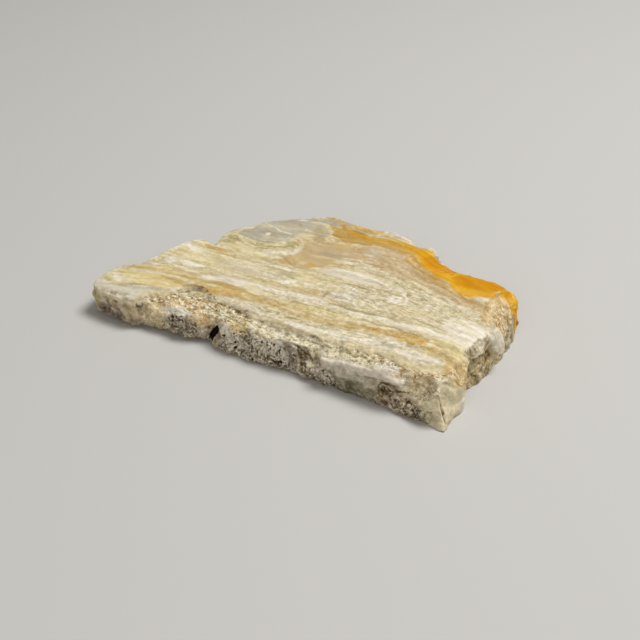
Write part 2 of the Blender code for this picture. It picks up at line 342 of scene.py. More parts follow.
@dataclass(frozen=True)
class Streak(Mark):
    """A mark along a line. The width is the half width in the middle, and the ends taper."""

    # The least that the taper leaves, squared, and where the edge fades, in half widths
    TAPER_END: ClassVar[float] = 0.15
    FADE: ClassVar[Range] = (1.5, 0.4)

    def _shape(self, flat: np.ndarray, stops: np.ndarray) -> np.ndarray:
        """Measures the streak at points near its stops.

        Args:
            flat: the two numbers of each point.
            stops: the two numbers of each stop.

        Returns:
            How much of it there is, from 0 to 1.
        """
        away, along = distance_to_path(flat, stops)
        taper = np.sqrt(np.clip(4.0 * along * (1.0 - along), self.TAPER_END, 1.0))
        return ease(*self.FADE, away / (self.width * taper))


@dataclass(frozen=True)
class Patch(Mark):
    """A mark inside a closed outline. The width is how far it fades on either side of it."""

    def _shape(self, flat: np.ndarray, stops: np.ndarray) -> np.ndarray:
        """Measures the patch at points near its stops.

        Args:
            flat: the two numbers of each point.
            stops: the two numbers of each stop.

        Returns:
            How much of it there is, from 0 to 1.
        """
        closed = np.concatenate([stops, stops[:1]])
        away, _ = distance_to_path(flat, closed)
        inward = np.where(inside_outline(flat, closed), away, -away)
        return ease(-self.width, self.width, inward)


def distance_to_path(points: np.ndarray, stops: np.ndarray) -> tuple[np.ndarray, np.ndarray]:
    """Measures points against a path.

    Args:
        points: two numbers for each.
        stops: two numbers for each stop of the path.

    Returns:
        How far each point is from the path, and how far along it, from 0 to 1.
    """
    steps = np.linalg.norm(np.diff(stops, axis=0), axis=1)
    passed = np.concatenate([[0.0], np.cumsum(steps)])
    nearest = np.full(len(points), 1e9)
    along = np.zeros(len(points))
    for start, end, step, before in zip(stops, stops[1:], steps, passed):
        toward = (end - start) / max(step, 1e-9)
        reach = np.clip((points - start) @ toward, 0.0, step)
        away = np.linalg.norm(points - start - reach[:, None] * toward, axis=1)
        along = np.where(away < nearest, (before + reach) / passed[-1], along)
        nearest = np.minimum(nearest, away)
    return nearest, along


def inside_outline(points: np.ndarray, closed: np.ndarray) -> np.ndarray:
    """Finds the points inside a closed outline.

    Args:
        points: two numbers for each.
        closed: the outline's corners, with the first again at the end.

    Returns:
        Whether each point is inside.
    """
    inside = np.zeros(len(points), bool)
    x, y = points[:, 0], points[:, 1]
    for (ax, ay), (bx, by) in zip(closed, closed[1:]):
        if ay != by:
            crosses = (ay > y) != (by > y)
            inside ^= crosses & (x < (bx - ax) * (y - ay) / (by - ay) + ax)
    return inside


# Growth layers of the opal: a level number and the line that it follows across the plan
LAYER_LINES = (
    (-2.0, ((0.0, -2.5), (60.0, -2.5))),
    (4.0, ((0.0, 0.8), (9.0, 2.6), (15.0, 4.6), (23.0, 4.6), (28.0, 3.6), (35.0, 3.7), (42.0, 4.2),
           (50.0, 4.2), (60.0, 3.4))),
    (8.0, ((0.0, 4.6), (5.0, 6.3), (10.0, 8.0), (15.0, 8.6), (20.0, 8.6), (28.0, 8.2), (36.0, 7.8),
           (44.0, 8.6), (52.0, 9.3), (60.0, 8.9))),
    (10.0, ((0.0, 7.4), (8.0, 9.3), (15.0, 9.9), (25.0, 10.3), (34.0, 10.6), (46.0, 11.1),
            (52.0, 10.8), (60.0, 9.9))),
    (12.0, ((0.0, 9.6), (15.0, 11.7), (25.0, 12.2), (34.5, 12.4), (42.0, 12.0), (50.0, 12.6),
            (60.0, 11.2))),
    (17.5, ((0.0, 16.0), (13.0, 17.6), (25.0, 17.4), (35.0, 18.0), (46.0, 17.5), (60.0, 15.0))),
    (22.0, ((8.0, 21.0), (12.0, 23.0), (17.0, 20.9), (22.0, 23.6), (26.0, 20.0), (30.0, 21.0),
            (36.0, 22.2), (42.0, 22.1), (48.0, 21.0), (60.0, 18.5))),
    (28.0, ((8.0, 27.0), (20.0, 27.5), (30.0, 28.3), (35.0, 30.0), (40.0, 29.6), (45.0, 26.2),
            (49.5, 25.3), (53.0, 22.6), (60.0, 20.6))),
    (34.0, ((8.0, 31.0), (22.0, 34.6), (30.0, 34.6), (36.0, 34.0), (40.0, 33.0), (44.5, 31.5),
            (49.5, 29.0), (57.5, 28.3), (62.0, 26.0))),
    (40.0, ((0.0, 41.0), (60.0, 36.0))),
)

# What is laid on the stone before its crust. Each entry is a kind, the side it is drawn on, and
# its marks, in the order in which they are laid. The numbers of a mark are its path, with x and y
# in turn, its width or softness, its strength, 1 where it is left out, and how deep it is.
LAID_FIRST = (
    (Opal.BUTTER, PLAN,
     Patch((1, 4.7, 3, 4.7, 6, 3.3, 8.6, 3.3, 11.2, 4.3, 13, 5.6, 13.4, 7, 11.5, 7.4, 8, 7, 4, 5.9,
         1.2, 5.6), 0.55, 1, 0.1),
     Patch((2.2, 6.6, 14, 8, 15, 10.2, 9, 9.8, 4.6, 8.8), 0.8, 0.7, 0.1),
     Patch((4.4, 12.6, 10, 13, 14.6, 13.4, 13, 15.6, 6, 14.6), 1.2, 0.75),
     Patch((10.8, 18.4, 20.6, 18, 19.6, 20.6, 14.4, 21.6, 11.2, 21.8), 0.9, 0.6, -0.5),
     Patch((25, 8.2, 36, 8.6, 47, 9.6, 44, 10.6, 30, 10), 0.7, 0.7, -0.2),
     Patch((52.6, 6.8, 59.6, 6.4, 59.8, 10.4, 53.4, 10.6), 0.8, 1, 0.1),
     Patch((24.4, 14.8, 34, 15.4, 34, 18.4, 29, 18.4, 25.4, 16.4), 1, 0.6),
     Streak((44, 15.2, 50, 16), 1.4, 0.5)),
    (Opal.BLUSH, PLAN,
     Patch((21.2, 18.8, 24.6, 18.3, 27.6, 18.4, 30, 20.6, 31.4, 23.6, 31.6, 26.6, 28, 27.6, 24.4, 27.4,
         23.6, 25, 24.4, 23.2, 22.8, 20.6), 1.3, 0.9),
     Patch((31, 24.4, 36, 24, 42, 22.6, 46, 22.4, 51, 20.8, 57.2, 19.2, 57, 22, 51.6, 22.8, 49.6, 25.2,
         45.4, 26, 42.4, 28.4, 39.6, 30.4, 34, 30.8, 31.4, 28.8), 1.1, 0.95, -0.1),
     Patch((36.6, 24.6, 43, 24, 42.6, 26.6, 38.6, 29.4, 36, 28.4), 1.2, 0.5, 0.15),
     Patch((50.4, 20.8, 57, 19.6, 56.8, 22.2, 52.4, 22.4), 0.7, 0.9, 0.35),
     Patch((22.6, 34.2, 25, 32.4, 28.2, 33, 28.4, 34.8, 24, 36), 0.7, 0.8, -0.3),
     Streak((9.2, 9.1, 12.5, 9.6, 15, 9.9), 0.6, 0.8, -0.35),
     Streak((3.9, 7.4, 4.7, 7.5), 0.4, 0.8, 0.1),
     Streak((23.4, 27.8, 26.4, 27.9), 0.45, 0.9, 0.3),
     Streak((27, 12.1, 29, 12.6, 33.2, 13.2), 0.5, 0.6, -0.2),
     Streak((30.2, 7, 32.6, 6.9, 35.6, 7.2), 0.45, 0.8, -0.1),
     Streak((45, 13, 48, 13.2), 0.5, 0.6),
     Streak((53.4, 9.3, 55.6, 9.4), 0.5, 0.7, -0.4),
     Streak((14.4, 7, 16.4, 6.6), 0.45, 0.5),
     Streak((39, 8.6, 43.6, 9.2), 0.35, 0.6, -0.3),
     Streak((40, 18.4, 46, 18.2), 0.6, 0.3)),
    (Opal.GREY, PLAN,
     Patch((-0.6, 2.3, 1, 2.2, 3, 1.9, 5.4, 2.4, 7.6, 3.1, 9.8, 3.8, 12, 4.9, 13.4, 5.3, 12.6, 3.6,
         10.6, 2.6, 9.6, 1.2, 9.4, -1.6, -0.6, -1.6), 0.4, 1, -0.7),
     Patch((12.2, 24.2, 13.4, 27.2, 17.8, 27.6, 21, 27.2, 21, 25, 17.6, 22.8, 15, 22.6, 12.6, 23.4),
         0.6, 1, 0.8),
     Patch((10.6, 24.6, 13, 28.6, 17, 31.4, 20, 33, 20, 32, 16, 29.6, 12.6, 25), 0.5, 0.7, -0.7),
     Patch((24, 15.4, 28, 15.8, 27.4, 17.6, 23.6, 17.6), 0.9, 0.5, -0.3),
     Patch((33.6, 25.8, 36.8, 25.8, 37.2, 28.4, 35, 29.8, 32.8, 28.8), 1.2, 0.5, -0.2),
     Patch((24.4, 4.7, 27.6, 4.8, 27.4, 6.4, 24.8, 6.5), 0.5, 0.7, -0.3),
     Patch((47, 4.8, 50.2, 5, 50.2, 6.6, 47.4, 6.4), 0.4, 0.7, -0.2),
     Patch((34.6, 12.9, 39, 13, 39.2, 15.8, 35, 16), 0.6, 0.6, -0.45),
     Patch((44.2, 11.6, 49.6, 11.4, 52.6, 11.2, 58.6, 9.9, 59, 11.6, 54, 12.4, 47, 12.6), 0.5, 0.4, -0.6),
     Streak((18.4, 11.2, 24.8, 12), 0.55, 0.6, -0.3),
     Streak((39.6, 16, 42.6, 16.4), 0.7, 0.5, 0.1)),
    (Opal.SLATE, PLAN,
     Patch((12.2, 24.2, 13.4, 27.2, 17.8, 27.6, 21, 27.2, 21, 25, 17.6, 22.8, 15, 22.6, 12.6, 23.4),
         0.6, 0.75, 0.3),
     Patch((13.4, 27.4, 20.8, 26.8, 22.8, 28.6, 22.6, 32.8, 21, 33.6, 16, 30.6), 0.9, 0.95, 0.2),
     Streak((14.6, 28.8, 17.6, 30.2, 20.4, 31.4), 0.5, 0.6, 0.7)),
    (Opal.BLUSH, PLAN,
     Streak((16, 29.2, 18.4, 29.8, 21, 30.6), 0.6, 0.5),
     Streak((19, 27.6, 21.2, 28.2, 22.6, 29), 0.6, 0.5, -0.2)),
    (Opal.PLUM, PLAN,
     Streak((13, 24.2, 14.8, 24.9, 16.6, 26.5), 0.5, 0.5, -0.7)),
    (Opal.CREAM, PLAN,
     Streak((14.2, 26.6, 17, 28.4, 20.6, 29), 0.35, 0.6, -0.4),
     Streak((15.4, 23.4, 17.4, 24.6, 19.8, 24.9), 0.35, 0.6, -0.2)),
    (Opal.GLASS, PLAN,
     Patch((21.4, 28.4, 24.8, 27.8, 26.4, 29.4, 25.2, 31.4, 23.4, 34.6, 21.8, 32.6, 22.6, 30.4),
         1.2, 0.8, -0.2),
     Patch((13, 24, 15.6, 24, 15.8, 26, 13.4, 26.2), 0.5, 0.5),
     Patch((16.8, 23.6, 18.9, 23.8, 18.8, 25.8, 17.2, 26), 0.4, 0.65, 0.1),
     Patch((26.4, 22.6, 31, 23.4, 33.4, 25, 30, 26.2, 27.2, 25.8), 0.9, 0.55, -0.2),
     Streak((15.2, 26.7, 16.8, 26.2, 19.8, 26.5), 0.26, 0.9, 0.3),
     Streak((19.9, 30.4, 20.8, 30.2), 0.45, 0.8, 0.3),
     Streak((11.4, 19.5, 12.2, 19.1), 0.3, 0.9, 0.4),
     Streak((34.6, 12.2, 38, 12, 42.2, 12, 46.4, 12.5, 48.4, 12.9), 0.22, 0.8, -0.2),
     Streak((33, 12.9, 34.2, 12.9, 34.2, 14.8), 0.35, 0.7, 0.1),
     Streak((42, 10.2, 47, 10.3, 52.2, 10.4), 0.2, 0.9, 0.2),
     Streak((26.6, 9.9, 32, 9.9, 38.4, 10.1), 0.2, 0.7, -0.1),
     Streak((35.2, 22.4, 38, 22.3, 42.2, 21.5), 0.22, 0.9, -0.2),
     Streak((49.6, 13.6, 52.4, 13.2, 55.6, 12.6, 59.4, 11.4), 0.28, 0.6, -0.2),
     Streak((41.6, 20.4, 43.2, 20.3, 45.4, 19.2, 46.2, 17.4), 0.3, 0.6),
     Streak((38.8, 18.8, 39.4, 16.6, 41, 15.4), 0.26, 0.6),
     Streak((24.6, 26.9, 29, 27, 31.4, 26.4), 0.18, 0.5)),
    (Opal.OLIVE, PLAN,
     Streak((11.4, 22.7, 14, 21.9, 17, 21.7, 20, 22.3, 22.4, 24), 0.5, 1, 0.1),
     Patch((17.2, 19.6, 19.2, 19.8, 19.4, 21.8, 17.4, 22), 0.5, 0.7),
     Patch((20.2, 22.4, 23.2, 22.8, 23.2, 25.4, 20.8, 25.2), 0.5, 0.7, 0.2),
     Streak((1.2, 2.6, 2.5, 2.3), 0.42),
     Streak((4.2, 1.9, 5.8, 2), 0.34, 0.7, -0.3),
     Streak((2.8, 2.4, 5.4, 2.8, 8.4, 3.5), 0.22, 0.8, 0.1),
     Streak((24, 15.4, 28, 15.9), 0.7, 0.6, -0.2),
     Streak((27.6, 17.8, 33, 17.2, 38.4, 18), 0.7, 0.7, -0.2),
     Streak((47.4, 18, 48.4, 21), 0.7, 0.6),
     Streak((52.6, 17.4, 54.8, 16, 55.6, 15.6), 0.55, 0.9),
     Streak((56.8, 18.2, 58.4, 16.8), 0.5, 0.5),
     Streak((55.2, 9.7, 57.8, 9.5), 0.4),
     Streak((29.2, 6.2, 34, 6.2), 0.5, 0.6),
     Streak((31.4, 8.3, 33, 8.4, 34.6, 7.7), 0.22, 0.9, 0.2),
     Streak((26.8, 8.6, 27.6, 7.2), 0.3, 0.8),
     Streak((19.4, 6.2, 22.4, 6.6), 0.5, 0.5),
     Streak((55, 7.6, 57.4, 7.8), 0.6, 0.8, -0.1),
     Streak((12.8, 20.6, 16, 20.4), 0.7, 0.35)),
    (Opal.TAN, PLAN,
     Streak((14, 8.2, 22, 8.4, 30, 7.8, 37, 7.6, 44, 8.6, 50, 9, 58, 8.4), 1, 0.75, -0.5),
     Patch((13.8, 6.2, 15, 8.6, 17.4, 9.2, 20.2, 9.4, 23.4, 9.4, 30, 8.6, 30.6, 7.2, 26, 7, 20, 6.4,
         16, 5.8), 0.6, 1, 0.35),
     Patch((11.6, 14.8, 16.6, 15.8, 16.4, 18.6, 13.6, 21, 11, 20.6, 11.4, 17), 0.9, 0.5, 0.2),
     Patch((21.6, 24.2, 24.6, 24.6, 24.6, 27.4, 22, 27.2), 0.7, 0.6, 0.2),
     Streak((22, 8.8, 25, 8.4, 28, 8.2), 0.7, 0.9),
     Streak((23.8, 7.5, 28.4, 7.3), 0.4, 0.7),
     Streak((29, 7.6, 33, 7.2, 37, 7.2), 0.7, 0.9, -0.1),
     Streak((36.4, 6.9, 38.2, 7.4, 40.4, 8, 43.8, 8.4), 0.95, 1, 0.1),
     Streak((43, 8.2, 46, 8.7, 48.6, 9.2), 0.95, 1, 0.2),
     Streak((1, 5.1, 2.8, 5), 0.24, 0.9),
     Streak((9.4, 7, 12, 6.9, 14.4, 6.4, 15.6, 5.8), 0.6, 0.9, 0.1),
     Streak((9, 5.1, 11, 5.2, 12.8, 5.6), 0.45, 0.6, -0.3),
     Streak((2, 6.8, 4.4, 7.5, 7, 8.3, 9, 8.9), 0.42, 0.8, 0.1),
     Streak((5, 6.6, 8, 7.4, 11, 8.3, 14, 8.8), 0.3, 0.8, 0.1),
     Streak((11.4, 8, 14.4, 8), 0.7, 0.7, -0.3),
     Streak((20.6, 12.2, 24.6, 12.4, 26.4, 12.5, 28, 12.9), 0.32, 0.9, 0.1),
     Streak((24.6, 12.3, 27.8, 12.9), 0.22, 0.8, 0.4),
     Patch((28.6, 12.8, 32.8, 13, 32.6, 14.6, 29, 14.6), 0.4, 0.6, -0.3),
     Streak((23.6, 20.6, 26.8, 20.6), 1.2, 0.8),
     Streak((27.4, 21.8, 30, 22.2, 33, 22.4), 0.4, 0.6),
     Patch((27.4, 26.8, 31.4, 26.6, 31.8, 28.8, 28, 29), 0.6, 0.8, -0.2),
     Streak((38, 22.1, 41.8, 21.7), 0.2, 0.7),
     Patch((56.8, 8, 60.4, 7.6, 61.2, 4.4, 59.6, 3.2, 57.2, 4.4), 0.55, 0.9, -0.25),
     Streak((52.6, 8.2, 55.4, 8), 0.45, 0.8),
     Streak((44, 10.4, 47, 10.3), 0.3, 0.5)),
    (Opal.OCHRE, PLAN,
     Patch((14.8, 6.4, 15.6, 7.8, 18.6, 8.8, 22.4, 8.8, 26, 8.4, 22, 7, 18, 6.4), 0.9, 0.75, -0.1),
     Patch((46.8, 8.8, 48.2, 10.1, 52.8, 10.2, 53.6, 8.9, 51.2, 7.9, 48.6, 8.1), 0.6, 1, 0.1),
     Streak((48.2, 9.3, 52.2, 9.1), 0.6, 0.9, 0.5),
     Streak((43.6, 8.2, 46.4, 8.8), 0.6, 0.8),
     Streak((9.2, 18.3, 10.8, 17.8, 13.4, 17.7), 0.52, 1, 0.1),
     Streak((27, 19.6, 28.4, 20.4), 0.62, 1, 0.2),
     Streak((22.2, 19.2, 24.6, 19.2), 0.62, 0.6, 0.1),
     Streak((57.2, 5.4, 58.6, 6.2), 0.7, 0.6, 0.1)),
    (Opal.CRUST, PLAN,
     Patch((11, 1.6, 12.4, 3.6, 13.6, 6, 14.8, 6.9, 16.6, 6.8, 18.8, 5.8, 21, 4.8, 20, 3.6, 14, 2),
         0.35, 0.85, -0.2)),
    (Opal.PEACH, PLAN,
     Patch((13.4, 4.6, 14.6, 6, 16.4, 5.9, 18, 5, 16, 4), 0.5, 0.6, -0.5)),
    # Brown lines along the step from the tip facet to the back of the ledge, in part painted shade under
    # its lip
    (Opal.EARTH, PLAN,
     Streak((9.8, -0.6, 10.8, 0.8, 12, 2.6, 12.9, 4.4, 13.4, 6.2), 0.3, 0.55, -0.2),
     Streak((13.3, 6.2, 14.5, 7.1, 16.2, 7.1, 17.3, 6.6, 19.2, 5.9), 0.36, 0.65, -0.1),
     Streak((19.2, 5.9, 21.1, 4.9, 23.4, 4.8, 27.2, 4.6), 0.26, 0.6, -0.3)),
    (Opal.HONEY, PLAN,
     Patch((25.8, 29.6, 26.6, 31.6, 29.4, 32.7, 33, 31.8, 35.6, 33.3, 40, 33, 41, 30.4, 38, 29.9, 34.4, 31,
         32.2, 29.6, 29, 28.8), 1.8, 0.85, -0.2),
     Streak((26.6, 31.4, 30.6, 30.9, 33.6, 31.2), 0.5, 0.7, 0.3),
     Streak((30, 29.8, 34, 30.4, 37.6, 30), 0.4, 0.6, 0.2),
     Streak((39, 29.8, 41.4, 28.6, 44, 26.4, 47.4, 24.6, 50.4, 23.2, 54, 22), 0.9, 0.6, -0.2),
     Streak((26.4, 32.2, 30, 32), 0.5, 0.8, -0.3),
     Streak((36.6, 31.6, 39.4, 31.2), 0.7, 0.8, 0.4),
     Patch((23.6, 33.2, 25.4, 31.2, 26.7, 29.6, 29.1, 28.8, 31.4, 29, 35, 29.7, 38, 30.2, 41, 29.6,
         41.4, 31, 36, 32.8, 31.6, 32.6, 29.4, 32.8, 26.6, 33.6), 0.5, 0.85, 0.3),
     Streak((35.4, 32.2, 38.6, 32.6), 0.6, 0.8, 0.1)),
    (Opal.GOLD, PLAN,
     Patch((36, 33.4, 41.2, 33.6, 44.4, 32.4, 44, 28.4, 40.6, 29.8, 38, 31.4), 1.1, 0.7),
     Streak((27.4, 32.6, 29.4, 31.5, 33, 31.6, 36.6, 32.2, 40, 31.6, 42.4, 30.2), 0.9, 0.55, 0.1),
     Patch((40.6, 33.4, 44, 31.9, 46.8, 30.9, 50, 30.6, 61.2, 30.8, 61.2, 27.4, 58.6, 26.6, 56.8, 24.2,
         54.8, 23, 52.4, 22.6, 50.4, 23.8, 48.6, 25.2, 46.6, 25.6, 44.6, 27, 42.4, 28.4, 40.8, 30.4), 1.1)),
    (Opal.AMBER, PLAN,
     Patch((42, 29.6, 43.8, 27.8, 46.2, 26.8, 48.8, 27.2, 48.6, 29.4, 46.4, 30.4, 43.6, 30.9),
         0.9, 1, 0.1),
     Patch((48.6, 26.8, 50.6, 24.9, 54.2, 24.7, 57, 25.6, 56.8, 27.8, 52, 28.6), 0.8, 1, 0.3),
     Streak((50.4, 26, 53, 26.2), 1, 0.9, 0.4),
     Streak((43.8, 28.9, 46, 28.7), 0.9, 0.9, 0.4),
     Patch((44.6, 29.6, 45.6, 27.4, 48.8, 27.4, 49.4, 29.2, 47, 30.2), 0.6, 0.8, 0.5),
     Patch((49.4, 29.2, 49.8, 27, 54, 27, 54.4, 29), 0.6, 0.8, 0.2),
     Patch((55.6, 29.8, 60.4, 29.6, 60.4, 26.8, 56.2, 26.6), 0.6, 0.8, 0.3)),
    (Opal.MILK, PLAN,
     Streak((14.4, 9.8, 18.6, 10.6, 22.6, 10.8), 0.95, 1, 0.2),
     Streak((19.6, 10.4, 21.8, 10.6), 0.6, 0.9, -0.5),
     Streak((15.2, 9.7, 17.2, 10), 0.45, 0.9, -0.4),
     Streak((21, 11, 26.8, 11.2, 31, 11.6, 35.2, 11.8), 0.6, 0.9),
     Streak((26.6, 11.3, 31, 11.5, 34.8, 11.8), 0.58, 1, -0.4),
     Streak((35, 11.2, 40, 11.3, 43.4, 11.5), 0.42, 0.7),
     Streak((43.2, 11.7, 46.4, 12), 0.5, 0.9, -0.2),
     Streak((46, 11.5, 50, 11.9, 54, 11.9, 57, 11.2), 0.6, 0.9, -0.1),
     Streak((50.4, 12.2, 53.4, 12), 0.4, 0.9, -0.4),
     Streak((52, 10.8, 56, 10.9, 59, 10), 0.4, 0.5),
     Streak((19.6, 6.2, 24, 5.8, 28, 5.2), 0.9, 0.5, 0.2),
     Streak((27.6, 4.9, 31.6, 4.9), 0.45, 0.8),
     Streak((32.2, 4.7, 36, 4.8, 38.8, 4.9), 0.62, 1, -0.2),
     Streak((38.4, 5.2, 41, 5.2, 43.8, 5.4), 0.62, 1, -0.4),
     Streak((43.6, 5.5, 45.6, 5.7, 47.2, 6.2), 0.75, 0.9, -0.1),
     Streak((47.4, 6.8, 50, 6.6), 0.42, 0.8, -0.1),
     Streak((49.8, 5.6, 52.6, 5.6, 56.4, 5.6), 1.15, 0.85, 0.2),
     Streak((51, 5.4, 54.4, 5.4), 0.55, 0.8, -0.2),
     Streak((42, 6.6, 46, 7.1, 52, 7.2), 0.4, 0.6),
     Streak((8.8, 12, 11.2, 11.7, 13.2, 12.3), 0.65, 1, -0.7),
     Streak((8.6, 10.4, 10.8, 10.4), 0.36, 0.8, -0.1),
     Streak((6.2, 11.3, 8.5, 11.7), 0.75, 1, -0.6),
     Streak((4.2, 9, 4.4, 11, 4.7, 13.2), 0.5, 0.8, 0.1),
     Streak((5, 9.3, 6.2, 9.2), 0.4, 0.8),
     Streak((4.6, 13.2, 5.4, 14.6, 6.4, 15.6), 0.6, 0.9, -0.1),
     Streak((6, 16.9, 7.6, 16.6), 0.85, 1, -0.6),
     Streak((7.4, 16, 10.8, 15.9), 0.65, 0.95, -0.4),
     Streak((6.4, 17.6, 8, 19), 0.6, 0.6),
     Streak((14, 16.2, 20, 16.3, 23, 17.1), 0.35, 0.6),
     Streak((14.6, 14.2, 20, 14.8, 27, 15.2), 0.9, 0.55, 0.5),
     Streak((23.2, 17.4, 25, 17.2, 26.8, 17.4), 0.5, 0.8, 0.1),
     Streak((18.4, 13.2, 20.4, 13.4), 0.5, 0.5),
     Streak((22.4, 14.8, 24.8, 14.6), 0.4, 0.5),
     Patch((25.4, 13.7, 26.2, 14.5, 27.9, 15.4, 28.6, 14.9, 27.6, 13.9, 26.4, 13.4), 0.3, 1, -0.8),
     Streak((30, 15, 31.2, 15.3), 0.42, 0.9, -0.1),
     Streak((31.2, 15.4, 32, 16.4), 0.22, 0.8),
     Streak((28.8, 16.5, 29.6, 16.3), 0.24, 0.7),
     Streak((32.9, 13.4, 33, 17.2), 0.12, 0.8),
     Streak((34.8, 16.7, 36.8, 17, 38.9, 16.6), 0.36, 1, -0.3),
     Streak((37, 16.4, 38.8, 16.2), 0.3, 0.8, -0.2),
     Streak((34.8, 14.6, 37, 14.7, 38.4, 14.4), 0.42, 0.9, -0.1),
     Streak((34.4, 13.5, 37, 13.4, 40, 13.5), 0.2, 0.8),
     Streak((39.6, 18.1, 40.6, 18.2), 0.26, 0.9),
     Streak((40.2, 17.3, 40.8, 17.2), 0.2, 0.8),
     Streak((41.4, 15.2, 43.4, 14.7, 45.2, 15), 0.3, 0.7),
     Streak((39.4, 15.6, 40.4, 15.2, 41.2, 14.4), 0.2, 0.7),
     Streak((41, 18.7, 42, 19.4, 43.4, 19.6, 44.8, 19.2, 45.7, 18.2), 0.36, 1, -0.5),
     Streak((45.7, 18.4, 45.9, 17.2, 45.2, 16.2), 0.3, 0.9, -0.2),
     Patch((42.4, 17.2, 43.2, 18.3, 44.6, 18.3, 45.1, 17.2, 44.6, 16.1, 43.2, 16.1), 0.3, 1, -0.8),
     Streak((46.6, 16.7, 52, 16.5), 0.18, 0.7),
     Streak((50.4, 20.8, 51.4, 20.4), 0.35, 0.7),
     Streak((53.2, 19.3, 57, 19), 0.28, 0.6),
     Streak((54.2, 15.8, 57.4, 14.2, 60, 12.8), 0.42, 1, -0.1),
     Streak((53.6, 14.7, 57, 13.2, 60, 11.8), 0.42, 1, -0.2),
     Streak((56, 16.4, 58.4, 15.2, 60.4, 14.4), 0.45, 0.9),
     Streak((54.8, 13.6, 59.8, 12.4), 0.3, 0.9, -0.2),
     Streak((30.8, 20.8, 35, 21.4, 40.6, 21.1), 0.24, 0.9),
     Streak((29.6, 19.2, 34, 18.8, 38.6, 18.7), 0.3, 0.6),
     Streak((34, 26.9, 35.6, 26.7), 0.4, 0.6, 0.3),
     Streak((31.8, 24.5, 34, 24.7, 37.6, 23.2), 0.26, 0.7, 0.2),
     Streak((29.6, 22.9, 31.6, 23.4, 33.8, 23.4), 0.2, 0.6, 0.2),
     Streak((31.4, 28.2, 33, 29.2, 36.8, 27.4, 41, 25.4), 0.2, 0.55, 0.6),
     Streak((35, 23, 40, 23.4, 47, 22.6), 0.24, 0.5, 0.2),
     Streak((16.3, 24.8, 16.8, 25.9), 0.34, 1, -0.3),
     Streak((12.4, 24.4, 12.6, 25.4, 13.4, 26.2), 0.26, 0.9),
     Streak((14.8, 28.4, 18, 27.2, 20.2, 27.2), 0.22, 0.7),
     Streak((20.2, 25.7, 20.7, 25.9), 0.26, 0.9),
     Streak((18.6, 19.4, 21.4, 20.9), 0.6, 0.9, 0.3),
     Streak((21.2, 20.6, 22.8, 21.5, 24, 22.8, 23.8, 24.2, 23, 24.6), 0.5, 0.9, 0.5),
     Streak((21.6, 29.4, 22.2, 29.7), 0.36, 0.7),
     Streak((19, 31.6, 20.2, 32.3), 0.4, 0.8),
     Streak((24, 32.9, 25.6, 32.8, 27.4, 32.4), 0.22, 0.7, 0.3),
     Streak((1.2, 4.3, 2.4, 3.7, 3.9, 3), 0.5, 0.9),
     Streak((3.4, 4.3, 6, 3.9), 0.42, 0.6, 0.4),
     Streak((6.4, 2.8, 9, 3.3), 0.16, 0.8),
     Streak((0.6, 4.6, 0.8, 5.8, 2.4, 7.4), 0.26, 0.7),
     Streak((3, 6.4, 6.4, 7, 10, 7.8), 0.3, 0.7, 0.3),
     Streak((34.6, 36, 36, 35.6), 1, 0.8),
     Streak((42, 34.4, 44, 33.4), 0.9, 1, -0.2),
     Streak((58.4, 17.4, 60.6, 17.2), 0.9, 0.8, 0.1)),
    (Opal.GREY, PLAN,
     Patch((29.6, 19.3, 31.4, 20.7, 36, 21.1, 41.6, 20.3, 40.4, 19.5, 34, 19.3), 0.55, 0.9, -0.7)),
    (Opal.MILK, PLAN,
     Streak((30.4, 20.8, 34, 21.2, 38, 20.9, 41.4, 20.2), 0.32, 0.9, -0.6),
     Streak((32, 19.2, 35.6, 19.1, 39.8, 19.5), 0.26, 0.7, -0.3),
     Patch((52.2, 15, 53.6, 17.2, 57, 17.4, 61.2, 16.2, 61.2, 10.6, 58, 10.4, 54.4, 12.4), 0.8, 0.7, -0.5)),
    (Opal.BLUSH, PLAN,
     Streak((29, 34.6, 33, 34.5, 37, 34, 41, 33, 44.4, 31.9), 0.6, 0.65, 0.2)),
    (Opal.OLIVE, PLAN,
     Patch((10.6, 19.8, 13.6, 20.2, 14, 22.2, 11.4, 22.6), 0.6, 0.6, 0.4)),
    (Opal.CREAM, PLAN,
     Patch((8.2, -1.6, 12.4, -1.6, 13.8, 5.4, 11, 3.8, 8.8, 2), 0.7, 0.7, 0.3)),
    (Opal.OCHRE, PLAN,
     Patch((33, 33.8, 41, 33.8, 44.6, 32.4, 47.2, 31, 46.6, 30.6, 43, 31.9, 39.6, 32.5, 34, 32.6),
         0.7, 0.62, -0.5),
     Patch((27.6, 32.2, 31.6, 33, 36, 34.2, 33, 35.4, 28.4, 34.8), 0.7, 0.8, -0.9),
     Patch((51.4, 22.8, 56.4, 24, 57, 26, 52.6, 25.2), 0.8, 0.5, 0.1),
     Patch((38.8, 29.6, 41.8, 30, 43.4, 28, 42.6, 27, 40.2, 27.8), 0.7, 0.8, 0.4)),
    (Opal.HONEY, PLAN,
     Patch((45.4, 25.8, 48.6, 29.6, 51.2, 28.8, 48.8, 25.6), 0.8, 0.12, -1),
     Streak((54, 24.2, 56.2, 24.4), 0.7, 0.15, -1)),
    (Opal.BUTTER, PLAN,
     # The first two lines run along the back rim: pale opal, and in part painted highlight on the rounded
     # edge
     Streak((34.6, 33.6, 38, 33.5, 41, 33.1, 43.4, 32.3, 45.6, 31.4), 0.2, 0.85, -0.5),
     Streak((45.6, 31.5, 47.6, 30.3, 50.6, 29.6, 57.4, 29.2), 0.16, 0.6, 0.4),
     Streak((49.8, 25.4, 51.4, 24.2, 53.4, 23.4), 0.14, 0.5),
     Streak((44.6, 26.6, 48.2, 30.2), 0.13, 0.55, 0.4),
     Streak((45.6, 26.4, 49.2, 29.9), 0.13, 0.55, 0.4),
     Streak((46.6, 26.2, 50, 29.5), 0.13, 0.55, 0.4),
     Streak((47.6, 26, 50.8, 29.2), 0.13, 0.5, 0.4),
     Streak((42.4, 28, 44, 30), 0.1, 0.32),
     Streak((52, 24.6, 53.4, 26.2), 0.1, 0.3)),
)

